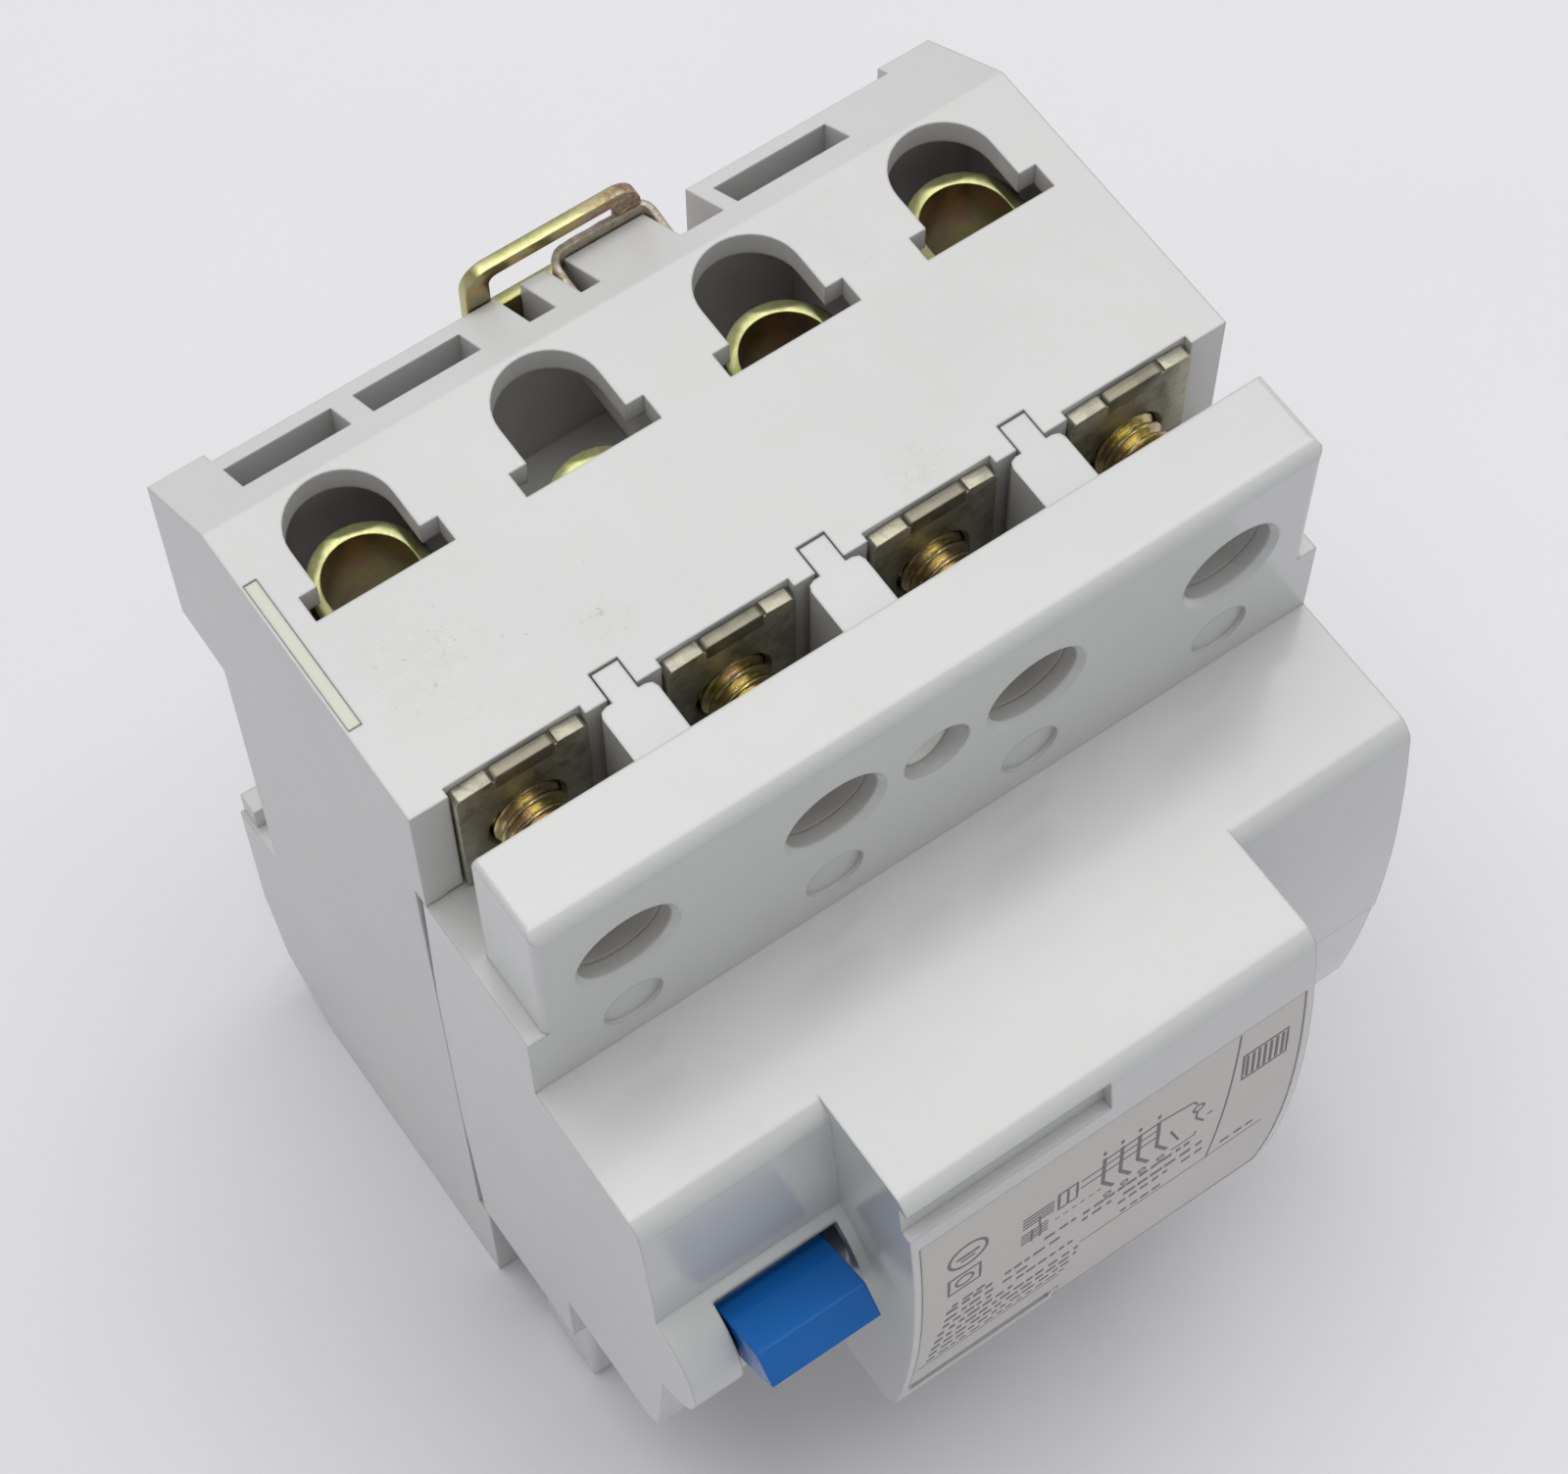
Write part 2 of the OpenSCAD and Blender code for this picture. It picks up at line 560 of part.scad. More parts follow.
// ---- trip relay ----
module mechanism_frame() {
  color(dark) {
    bx(17, 33.1, 36.9, 38, 43, 62);
    difference() {
      union() {
        bx(17, 18.2, 37.5, 54, 57.4, 63);
        bx(31.9, 33.1, 37.5, 54, 57.4, 63);
      }
      rod_x(16, 34, 52, 60, 0.83);
    }
  }
}
module relay_yoke() {
  color(steel) {
    bx(20, 30, 38.05, 39.3, 46, 57);
    bx(20, 30, 39.3, 47, 46, 47.3);
    bx(20, 30, 39.3, 46.6, 55.7, 57);
    rod_y(25, 39.2, 46.8, 51.5, 2.0);
  }
}
module relay_coil() {
  color(copper) translate([25, Y(39.5), 51.5]) rotate([90, 0, 0]) difference() {
    union() {
      cylinder(r = 3.7, h = 6.6, $fn = fn);
      cylinder(r = 4.1, h = 0.7, $fn = fn);
      translate([0, 0, 5.9]) cylinder(r = 4.1, h = 0.7, $fn = fn);
    }
    translate([0, 0, -1]) cylinder(r = 2.06, h = 9, $fn = fn);
  }
}
module relay_magnet() { color(dark) bx(21, 29, 43, 46.2, 57.1, 59); }
module relay_armature() {
  color(steel) bx(20.4, 29.6, 47.2, 48.2, 46, 58.6);
}
module trip_lever() {
  color(white) difference() {
    union() {
      rod_x(19, 31, 52, 60, 1.9);
      bx(22, 28, 51.2, 52.8, 48.4, 60);
      bx(22, 28, 48.5, 52.8, 52.4, 53.6);
      bx(19, 23, 53, 58, 59.2, 60.8);
    }
    rod_x(18, 32, 52, 60, 0.86);
  }
}
module trip_axle() { color(steel) rod_x(17.05, 33.05, 52, 60, 0.8); }
module secondary_leads() {
  color(copper) for (s = [0, 1]) {
    bx(12.6 + s * 1.2, 13.2 + s * 1.2, 24, 24.6, 36.2, 44.4);
    bx(12.6 + s * 1.2, 13.2 + s * 1.2, 24, 41 - s * 1.6, 44.4, 45);
    bx(12.6 + s * 1.2, 20.9, 40.4 - s * 1.6, 41 - s * 1.6, 44.4, 45);
  }
}

rear_housing();
front_cover();
label_plate();
marker_strip();
seal_plugs();
cover_screws();
toggle_lever();
toggle_axle();
toggle_spring();
drive_link();
test_button();
test_button_spring();
test_contact();
test_resistor();
rail_latch();
rail_latch_spring();
screw_upper_1();
screw_upper_2();
screw_upper_3();
screw_upper_4();
screw_lower_1();
screw_lower_2();
screw_lower_3();
screw_lower_4();
cage_upper_1();
cage_upper_2();
cage_upper_3();
cage_upper_4();
cage_lower_1();
cage_lower_2();
cage_lower_3();
cage_lower_4();
terminal_plates_upper();
terminal_plates_lower();
busbars_upper();
primary_conductors();
fixed_contacts();
moving_contacts();
contact_springs();
contact_carrier();
opening_springs();
arc_plates();
transformer_core();
transformer_winding();
transformer_cradle();
mechanism_frame();
relay_yoke();
relay_coil();
relay_magnet();
relay_armature();
trip_lever();
trip_axle();
secondary_leads();
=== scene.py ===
import json
import math
import random

import bmesh
import bpy
from mathutils import Matrix, Vector


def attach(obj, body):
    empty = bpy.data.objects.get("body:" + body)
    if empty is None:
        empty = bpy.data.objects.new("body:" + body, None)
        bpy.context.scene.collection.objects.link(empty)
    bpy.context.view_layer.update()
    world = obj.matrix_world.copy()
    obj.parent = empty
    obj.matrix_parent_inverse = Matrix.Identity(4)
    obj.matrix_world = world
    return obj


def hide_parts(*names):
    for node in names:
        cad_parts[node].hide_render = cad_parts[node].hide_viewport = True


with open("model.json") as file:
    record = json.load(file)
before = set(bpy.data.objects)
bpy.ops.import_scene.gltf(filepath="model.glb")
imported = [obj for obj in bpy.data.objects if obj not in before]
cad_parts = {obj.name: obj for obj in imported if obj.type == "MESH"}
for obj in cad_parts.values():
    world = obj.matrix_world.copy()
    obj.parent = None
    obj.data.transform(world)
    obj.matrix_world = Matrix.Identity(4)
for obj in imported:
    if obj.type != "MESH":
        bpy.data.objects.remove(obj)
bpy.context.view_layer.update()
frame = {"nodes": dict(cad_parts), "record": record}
NODES = frame["nodes"]
BODIES = frame["record"]["behaviour"]["bodies"]
BODY_OF = {n: b for b, ns in BODIES.items() for n in ns}

MM = 0.001
PITCH = 17.5
Z_SCREW = 82.0
LEVER_B, MID = 61.3, 45.0


def P(x, b, z):
    """Point from x, depth forward of the rear plane, and height, all in mm."""
    return Vector((x * MM, (37.0 - b) * MM, z * MM))


def px(i):
    return (i - 2.5) * PITCH


# ------------------------------------------------------------------ materials
class NT:
    """Small helper around a material's node tree."""

    def __init__(self, name):
        self.mat = bpy.data.materials.new(name)
        self.mat.use_nodes = True
        self.t = self.mat.node_tree
        self.t.nodes.clear()
        self.out = self.t.nodes.new("ShaderNodeOutputMaterial")
        self.bsdf = self.t.nodes.new("ShaderNodeBsdfPrincipled")
        self.link(self.bsdf.outputs[0], self.out.inputs[0])
        tc = self.t.nodes.new("ShaderNodeTexCoord")
        self.obj = tc.outputs["Object"]
        self.gen = tc

    def link(self, a, b):
        self.t.links.new(a, b)

    def node(self, kind, **inputs):
        n = self.t.nodes.new(kind)
        for k, v in inputs.items():
            k = k.replace("_", " ")
            if hasattr(v, "is_output"):
                self.link(v, n.inputs[k])
            else:
                n.inputs[k].default_value = v
        return n

    def mapping(self, scale=(1, 1, 1), rot=(0, 0, 0), loc=(0, 0, 0), src=None):
        n = self.t.nodes.new("ShaderNodeMapping")
        n.inputs["Scale"].default_value = scale
        n.inputs["Rotation"].default_value = rot
        n.inputs["Location"].default_value = loc
        self.link(src or self.obj, n.inputs["Vector"])
        return n.outputs[0]

    def noise(self, scale, detail=4.0, rough=0.55, vec=None, dist=0.0):
        n = self.t.nodes.new("ShaderNodeTexNoise")
        n.inputs["Scale"].default_value = scale
        n.inputs["Detail"].default_value = detail
        n.inputs["Roughness"].default_value = rough
        n.inputs["Distortion"].default_value = dist
        self.link(vec or self.obj, n.inputs["Vector"])
        return n.outputs["Fac"]

    def voronoi(self, scale, vec=None, feature="F1"):
        n = self.t.nodes.new("ShaderNodeTexVoronoi")
        n.feature = feature
        n.inputs["Scale"].default_value = scale
        self.link(vec or self.obj, n.inputs["Vector"])
        return n.outputs["Distance"]

    def ramp(self, fac, stops, mode="LINEAR"):
        n = self.t.nodes.new("ShaderNodeValToRGB")
        n.color_ramp.interpolation = mode
        els = n.color_ramp.elements
        while len(els) > 1:
            els.remove(els[-1])
        for k, (pos, col) in enumerate(stops):
            e = els[0] if k == 0 else els.new(pos)
            e.position = pos
            if isinstance(col, (int, float)):
                col = (col, col, col)
            e.color = (*col, 1.0)
        self.link(fac, n.inputs[0])
        return n.outputs[0]

    def math(self, op, a, b=0.0, clamp=False):
        n = self.t.nodes.new("ShaderNodeMath")
        n.operation = op
        n.use_clamp = clamp
        for k, v in enumerate((a, b)):
            if hasattr(v, "is_output"):
                self.link(v, n.inputs[k])
            else:
                n.inputs[k].default_value = v
        return n.outputs[0]

    def mix(self, fac, a, b, blend="MIX"):
        n = self.t.nodes.new("ShaderNodeMix")
        n.data_type = "RGBA"
        n.blend_type = blend
        for sock, v in ((n.inputs[0], fac), (n.inputs[6], a), (n.inputs[7], b)):
            if hasattr(v, "is_output"):
                self.link(v, sock)
            elif isinstance(v, (int, float)):
                sock.default_value = v
            else:
                sock.default_value = (*v, 1.0)
        return n.outputs[2]

    def edge(self, radius, lo=0.02, hi=0.25):
        """1 on sharp convex and concave edges, 0 on flats."""
        bev = self.t.nodes.new("ShaderNodeBevel")
        bev.samples = 4
        bev.inputs["Radius"].default_value = radius
        geo = self.t.nodes.new("ShaderNodeNewGeometry")
        dot = self.t.nodes.new("ShaderNodeVectorMath")
        dot.operation = "DOT_PRODUCT"
        self.link(bev.outputs[0], dot.inputs[0])
        self.link(geo.outputs["True Normal"], dot.inputs[1])
        inv = self.math("SUBTRACT", 1.0, dot.outputs["Value"])
        m = self.t.nodes.new("ShaderNodeMapRange")
        m.inputs["From Min"].default_value = lo
        m.inputs["From Max"].default_value = hi
        self.link(inv, m.inputs["Value"])
        return m.outputs[0], bev.outputs[0]

    def ao(self, dist, samples=6, inside=False):
        n = self.t.nodes.new("ShaderNodeAmbientOcclusion")
        n.samples = samples
        n.inside = inside
        n.inputs["Distance"].default_value = dist
        return n.outputs["AO"]

    def near(self, point, r0, r1):
        """1 close to a point of the object (within r0), fading to 0 at r1, ragged by noise."""
        d = self.t.nodes.new("ShaderNodeVectorMath")
        d.operation = "DISTANCE"
        self.link(self.obj, d.inputs[0])
        d.inputs[1].default_value = point
        w = self.math("ADD", d.outputs["Value"], self.math("MULTIPLY", self.math("SUBTRACT", self.noise(420, 5, 0.65), 0.5), 0.006))
        m = self.t.nodes.new("ShaderNodeMapRange")
        m.inputs["From Min"].default_value = r1
        m.inputs["From Max"].default_value = r0
        self.link(w, m.inputs["Value"])
        return m.outputs[0]

    def facing(self, axis):
        """How far the surface faces along an axis of the object, 0 to 1 either way."""
        geo = self.t.nodes.new("ShaderNodeNewGeometry")
        sep = self.t.nodes.new("ShaderNodeSeparateXYZ")
        self.link(geo.outputs["True Normal"], sep.inputs[0])
        return self.math("ABSOLUTE", sep.outputs[axis])

    def bump(self, height, strength=0.2, distance=0.0001, normal=None):
        n = self.t.nodes.new("ShaderNodeBump")
        n.inputs["Strength"].default_value = strength
        n.inputs["Distance"].default_value = distance
        self.link(height, n.inputs["Height"])
        if normal is not None:
            self.link(normal, n.inputs["Normal"])
        return n.outputs[0]

    def finish(self, color=None, rough=None, normal=None, metallic=None):
        b = self.bsdf.inputs
        if color is not None:
            self.link(color, b["Base Color"])
        if rough is not None:
            self.link(rough, b["Roughness"])
        if normal is not None:
            self.link(normal, b["Normal"])
        if metallic is not None:
            self.link(metallic, b["Metallic"])
        return self.mat


def mul(c, k):
    return tuple(min(1.0, v * k) for v in c)


def plastic(name, base, rough=0.34, grime_and_shade=(0.42, 0.40, 0.36), speck=0.5, bevel=0.00035, mould=0.5, gloss=0.3, smears=(), shade=(), spec=0.5):
    """Injection-moulded housing plastic: faint mottling, fine moulding grain, rubbed edges, painted shade in corners
    and creases, specks and smears.
    """
    t = NT(name)
    large = t.noise(45, 3, 0.5)
    cloud = t.noise(230, 5, 0.6, dist=0.4)
    c = t.mix(t.ramp(large, [(0.35, 0.0), (0.65, 1.0)]), mul(base, 0.975), mul(base, 1.015))
    c = t.mix(t.math("MULTIPLY", t.ramp(cloud, [(0.45, 0.0), (0.75, 1.0)]), 0.25), c, (base[0] * 0.95, base[1] * 0.945, base[2] * 0.92))
    edge, nrm = t.edge(bevel, 0.015, 0.2)
    c = t.mix(t.math("MULTIPLY", edge, 0.3), c, mul(base, 1.1))
    # painted shade: ambient occlusion darkens corners, creases and recesses towards the grey given for grime and shade,
    # in cloudy patches
    occ = t.ao(0.0035)
    occlusion_shade = t.math("MULTIPLY", t.math("SUBTRACT", 1.0, t.ramp(occ, [(0.15, 0.0), (0.75, 1.0)])), t.ramp(cloud, [(0.3, 0.25), (0.7, 0.8)]))
    c = t.mix(t.math("MULTIPLY", occlusion_shade, 0.4), c, grime_and_shade)
    # specks of dirt, sparse and ragged
    fleck = t.noise(1300, 3, 0.7, dist=1.2)
    sel = t.noise(75, 2, 0.5)
    spots = t.math("MULTIPLY", t.ramp(fleck, [(0.69, 0.0), (0.73, 1.0)]), t.ramp(sel, [(0.56, 0.0), (0.62, 1.0)]))
    for point, r0, r1, amount in smears:
        patch = t.near(point, r0, r1)
        film = t.math("MULTIPLY", patch, t.ramp(t.noise(700, 5, 0.7, dist=0.8), [(0.42, 0.0), (0.7, 1.0)]))
        c = t.mix(t.math("MULTIPLY", film, amount), c, mul(grime_and_shade, 1.1))
        more = t.math("MULTIPLY", patch, t.ramp(fleck, [(0.62, 0.0), (0.66, 1.0)]))
        spots = t.math("MAXIMUM", spots, more)
    c = t.mix(t.math("MULTIPLY", spots, speck), c, (0.33, 0.30, 0.24))
    for point, r0, r1 in shade:
        c = t.mix(t.near(point, r0, r1), c, (0.10, 0.065, 0.055))
    r = t.math("ADD", t.math("MULTIPLY", cloud, 0.07), t.math("MULTIPLY", large, 0.05))
    r = t.math("ADD", r, rough - 0.06, clamp=True)
    grain = t.noise(3800, 2, 0.5)
    wav = t.noise(60, 1, 0.4)
    h = t.math("ADD", t.math("MULTIPLY", grain, 0.10 * mould), t.math("MULTIPLY", wav, 0.5 * mould))
    n = t.bump(h, 0.22, 0.0001, nrm)
    t.bsdf.inputs["Specular IOR Level"].default_value = spec
    t.bsdf.inputs["Coat Weight"].default_value = gloss
    t.bsdf.inputs["Coat Roughness"].default_value = 0.12
    return t.finish(c, r, n)


def metal(name, stops, rough=0.3, worn=(0.75, 0.72, 0.62), wear=0.6, scale=420, scratch=0.3, rust=0.0, metallic=1.0, bevel=0.00015,
          inner=None, cutface=None, front=None, rust_at=None):
    """Plated or bare metal: patchy plating colours, bright worn edges, scratches, optional rust."""
    t = NT(name)
    patch = t.noise(scale, 4, 0.6, dist=0.6)
    c = t.ramp(patch, stops)
    edge, nrm = t.edge(bevel, 0.02, 0.3)
    fine = t.noise(scale * 5, 3, 0.6)
    e = t.math("MULTIPLY", edge, t.ramp(fine, [(0.3, 0.35), (0.6, 1.0)]))
    c = t.mix(t.math("MULTIPLY", e, wear), c, worn)
    if front is not None:
        # the plating runs through other colours on the face turned forward
        tint = t.ramp(t.noise(scale * 0.8, 3, 0.6, dist=1.0), front)
        c = t.mix(t.math("MULTIPLY", t.ramp(t.facing("Y"), [(0.4, 0.0), (0.85, 1.0)]), 0.8), c, tint)
    if cutface is not None:
        c = t.mix(t.math("MULTIPLY", t.ramp(t.facing("Z"), [(0.7, 0.0), (0.95, 1.0)]), t.ramp(fine, [(0.3, 0.55), (0.6, 1.0)])), c, cutface)
    met = None
    r = t.math("ADD", t.math("MULTIPLY", patch, 0.22), rough - 0.11, clamp=True)
    if inner is not None:
        # painted shade: deep inside the part, where ambient occlusion finds a hollow, the colour is darkened to the
        # inner dark brown and the surface made rougher
        hollow_shade = t.ramp(t.ao(0.007, 8), [(0.28, 1.0), (0.62, 0.0)])
        c = t.mix(t.math("MULTIPLY", hollow_shade, 0.9), c, inner)
        r = t.math("ADD", r, t.math("MULTIPLY", hollow_shade, 0.25), clamp=True)
    if rust > 0:
        rn = t.noise(scale * 1.7, 6, 0.7)
        rf = t.math("MULTIPLY", t.ramp(rn, [(0.42, 0.0), (0.6, 1.0)]), rust, clamp=True)
        rf = t.math("MULTIPLY", rf, t.ramp(edge, [(0.0, 0.35), (0.4, 1.0)]), clamp=True)
        if rust_at is not None:
            local = t.math("MULTIPLY", t.near(rust_at, 0.0024, 0.0052), t.ramp(rn, [(0.36, 0.35), (0.52, 1.0)]))
            rf = t.math("MAXIMUM", t.math("MULTIPLY", rf, 0.5), local)
        rc = t.ramp(fine, [(0.3, (0.16, 0.09, 0.06)), (0.55, (0.33, 0.20, 0.15)), (0.75, (0.52, 0.46, 0.42))])
        c = t.mix(rf, c, rc)
        r = t.math("ADD", r, t.math("MULTIPLY", rf, 0.4), clamp=True)
        met = t.math("SUBTRACT", metallic, t.math("MULTIPLY", rf, 0.7), clamp=True)
    else:
        t.bsdf.inputs["Metallic"].default_value = metallic
    sv = t.mapping(scale=(300, 4000, 2500), rot=(0.3, 0.5, 0.9))
    scr = t.noise(1.0, 3, 0.7, vec=sv)
    h = t.math("ADD", t.math("MULTIPLY", scr, scratch), t.math("MULTIPLY", fine, 0.5))
    if rust > 0:
        h = t.math("ADD", h, t.math("MULTIPLY", rf, 0.9))
    n = t.bump(h, 0.4, 0.00005, nrm)
    return t.finish(c, r, n, met)


GREY = plastic("housing_plastic", (0.60, 0.605, 0.60), 0.42, gloss=0.1,
               smears=((P(-27.5, 27, 90), 0.001, 0.006, 0.25), (P(-15, 31, 90), 0.0005, 0.0025, 0.15), (P(10, 34, 90), 0.001, 0.003, 0.3)))
COVER = plastic("cover_plastic", (0.545, 0.555, 0.55), 0.24, speck=0.25, gloss=0.45,
                smears=((P(7.5, 39, 90), 0.001, 0.0045, 0.5), (P(25.5, 37.5, 90), 0.001, 0.003, 0.3)),
                shade=[(P(px(i), 43.2, z), 0.0042, 0.0056) for i in range(1, 5) for z in (Z_SCREW + 1.5, 90 - Z_SCREW - 1.5)])
PLUG = plastic("seal_plug_wax", (0.80, 0.80, 0.77), 0.3, speck=0.1, gloss=0.3)
KEY = plastic("key_plastic", (0.55, 0.555, 0.55), 0.26, speck=0.1, gloss=0.4)
LABEL = plastic("label_plate_film", (0.54, 0.535, 0.51), 0.42, speck=0.15, mould=0.2, gloss=0.1)
STRIP = plastic("marker_strip_plastic", (0.60, 0.61, 0.53), 0.45, speck=0.2, gloss=0.1)
INK = plastic("label_ink", (0.17, 0.165, 0.175), 0.5, grime_and_shade=(0.1, 0.1, 0.1), speck=0.0, mould=0.2, gloss=0.05)
BLUE = plastic("lever_blue_plastic", (0.008, 0.115, 0.40), 0.2, grime_and_shade=(0.01, 0.03, 0.1), speck=0.0, bevel=0.0003, mould=0.3, gloss=0.04, spec=0.3)
DARK = plastic("inner_dark_plastic", (0.045, 0.045, 0.05), 0.5, grime_and_shade=(0.03, 0.03, 0.03), speck=0.0, gloss=0.05)
CERAMIC = plastic("resistor_ceramic", (0.55, 0.47, 0.30), 0.6, speck=0.2, gloss=0.05)
MAGNET = metal("magnet_ferrite", [(0.3, (0.05, 0.05, 0.055)), (0.7, (0.09, 0.09, 0.1))], 0.6, wear=0.3, worn=(0.2, 0.2, 0.2), metallic=0.3)
# the inner colour below is painted shade deep inside the cage hollows
ZINC = metal("zinc_yellow_chromate", [(0.25, (0.46, 0.44, 0.18)), (0.42, (0.58, 0.56, 0.26)), (0.55, (0.62, 0.50, 0.30)), (0.68, (0.58, 0.38, 0.34)), (0.8, (0.50, 0.56, 0.34))], 0.32,
             worn=(0.82, 0.82, 0.55), wear=0.4, inner=(0.075, 0.048, 0.032), cutface=(0.36, 0.38, 0.17))
SCREW = metal("screw_yellow_chromate", [(0.25, (0.34, 0.29, 0.10)), (0.42, (0.56, 0.48, 0.19)), (0.55, (0.46, 0.36, 0.20)), (0.68, (0.48, 0.36, 0.27)), (0.8, (0.44, 0.44, 0.20))], 0.26, worn=(0.88, 0.82, 0.52), wear=0.8)
LATCH = metal("latch_yellow_chromate", [(0.25, (0.34, 0.31, 0.12)), (0.45, (0.50, 0.49, 0.22)), (0.6, (0.56, 0.55, 0.28)), (0.75, (0.42, 0.34, 0.17))], 0.32, worn=(0.74, 0.76, 0.48), wear=0.35, rust=0.5,
              front=[(0.3, (0.20, 0.13, 0.07)), (0.45, (0.40, 0.26, 0.12)), (0.55, (0.30, 0.27, 0.13)), (0.7, (0.26, 0.30, 0.36))], rust_at=P(6.6, 0.7, 86.4))
RUSTY = metal("latch_rusty_edge", [(0.3, (0.36, 0.33, 0.27)), (0.5, (0.50, 0.46, 0.38)), (0.7, (0.34, 0.30, 0.20))], 0.5, worn=(0.55, 0.46, 0.40), wear=0.3, rust=1.0, scale=900)
PLATE = metal("terminal_plate_steel", [(0.28, (0.20, 0.195, 0.15)), (0.45, (0.33, 0.32, 0.25)), (0.6, (0.42, 0.40, 0.31)), (0.75, (0.28, 0.26, 0.20))], 0.44, worn=(0.78, 0.70, 0.54), wear=0.9, scratch=1.0, scale=700, metallic=0.8)
TAB = metal("terminal_plate_tab", [(0.3, (0.16, 0.155, 0.12)), (0.5, (0.24, 0.225, 0.175)), (0.7, (0.29, 0.26, 0.20))], 0.5, worn=(0.66, 0.60, 0.46), wear=0.7, scratch=1.2)
STEEL = metal("plain_steel", [(0.3, (0.42, 0.42, 0.41)), (0.7, (0.55, 0.55, 0.54))], 0.33, worn=(0.75, 0.75, 0.73))
WIRE = metal("spring_wire", [(0.3, (0.36, 0.36, 0.36)), (0.7, (0.52, 0.52, 0.51))], 0.28, scale=900)
COPPER = metal("bare_copper", [(0.3, (0.58, 0.27, 0.14)), (0.5, (0.72, 0.36, 0.20)), (0.7, (0.50, 0.24, 0.14))], 0.32, worn=(0.86, 0.52, 0.34))
SILVER = metal("contact_silver", [(0.3, (0.66, 0.65, 0.62)), (0.7, (0.80, 0.79, 0.76))], 0.28, worn=(0.9, 0.9, 0.88))

MATS = {
    "housing_grey": GREY, "cover_grey": COVER, "label_ivory": LABEL, "lever_blue": BLUE, "plain_steel": STEEL,
    "spring_steel": WIRE, "plate_steel": PLATE, "zinc_yellow": ZINC, "copper": COPPER, "silver": SILVER,
    "dark_plastic": DARK, "resistor_body": CERAMIC, "magnet": MAGNET,
}
SLOT = {s["node"]: s["material_slot"] for s in frame["record"]["subparts"]}
for name, obj in NODES.items():
    m = MATS[SLOT[name]]
    if name == "marker_strip":
        m = STRIP
    if name == "test_button":
        m = KEY
    obj.data.materials.clear()
    obj.data.materials.append(m)


# ------------------------------------------------------------------ mesh helpers
def make(name, verts, faces, node, mat, slot=None, replaces=True, bevel=0.0, seg=2, angle=32, smooth=True, body=None):
    me = bpy.data.meshes.new(name)
    me.from_pydata([tuple(v) for v in verts], [], faces)
    me.validate()
    bm = bmesh.new()
    bm.from_mesh(me)
    bmesh.ops.remove_doubles(bm, verts=bm.verts, dist=1e-7)
    bmesh.ops.recalc_face_normals(bm, faces=bm.faces)
    bm.to_mesh(me)
    bm.free()
    ob = bpy.data.objects.new(name, me)
    bpy.context.scene.collection.objects.link(ob)
    dress(ob, node, mat, slot, replaces, bevel, seg, angle, smooth, body)
    return ob


def apply_mods(ob):
    bpy.context.view_layer.update()
    dg = bpy.context.evaluated_depsgraph_get()
    me = bpy.data.meshes.new_from_object(ob.evaluated_get(dg))
    old = ob.data
    ob.modifiers.clear()
    ob.data = me
    bpy.data.meshes.remove(old)


def cut(ob, *cutters, op="DIFFERENCE"):
    for c in cutters:
        m = ob.modifiers.new("b", "BOOLEAN")
        m.operation = op
        m.solver = "EXACT"
        m.object = c
        apply_mods(ob)
        bpy.data.objects.remove(c)


def dress(ob, node, mat, slot=None, replaces=True, bevel=0.0, seg=2, angle=32, smooth=True, body=None):
    if bevel > 0:
        m = ob.modifiers.new("bevel", "BEVEL")
        m.width = bevel * MM
        m.segments = seg
        m.limit_method = "ANGLE"
        m.angle_limit = math.radians(angle)
        m.use_clamp_overlap = True
        apply_mods(ob)
    if smooth:
        ob.data.shade_smooth()
        ob.data.set_sharp_from_angle(angle=math.radians(angle + 8))
    ob.data.materials.clear()
    ob.data.materials.append(mat)
    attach(ob, body or BODY_OF[node])
    if replaces:
        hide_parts(node)
    slot or SLOT[node]


def raw(name, verts, faces):
    """A bare helper object, used as a cutter or a base."""
    me = bpy.data.meshes.new(name)
    me.from_pydata([tuple(v) for v in verts], [], faces)
    me.validate()
    bm = bmesh.new()
    bm.from_mesh(me)
    bmesh.ops.recalc_face_normals(bm, faces=bm.faces)
    bm.to_mesh(me)
    bm.free()
    ob = bpy.data.objects.new(name, me)
    bpy.context.scene.collection.objects.link(ob)
    return ob


def prism_data(loop, lo, hi, place):
    """Closed prism from a 2-D loop; place(u, v, w) gives the point."""
    n = len(loop)
    verts = [place(u, v, lo) for u, v in loop] + [place(u, v, hi) for u, v in loop]
    faces = [list(range(n))[::-1], list(range(n, 2 * n))]
    faces += [[i, (i + 1) % n, n + (i + 1) % n, n + i] for i in range(n)]
    return verts, faces


def box_data(x0, x1, b0, b1, z0, z1):
    return prism_data([(x0, b0), (x1, b0), (x1, b1), (x0, b1)], z0, z1, lambda u, v, w: P(u, v, w))


def lathe_data(profile, place, n=48):
    """Closed solid of revolution; profile is (r, t) from axis to axis; place(r*cos, r*sin, t)."""
    verts, faces, rings = [], [], []
    for r, t in profile:
        if r < 1e-9:
            rings.append([len(verts)])
            verts.append(place(0, 0, t))
        else:
            rings.append(list(range(len(verts), len(verts) + n)))
            verts += [place(r * math.cos(2 * math.pi * k / n), r * math.sin(2 * math.pi * k / n), t) for k in range(n)]
    for a, b in zip(rings, rings[1:]):
        for k in range(n):
            k2 = (k + 1) % n
            if len(a) == 1 and len(b) == 1:
                continue
            if len(a) == 1:
                faces.append([a[0], b[k], b[k2]])
            elif len(b) == 1:
                faces.append([a[k], b[0], a[k2]])
            else:
                faces.append([a[k], b[k], b[k2], a[k2]])
    return verts, faces


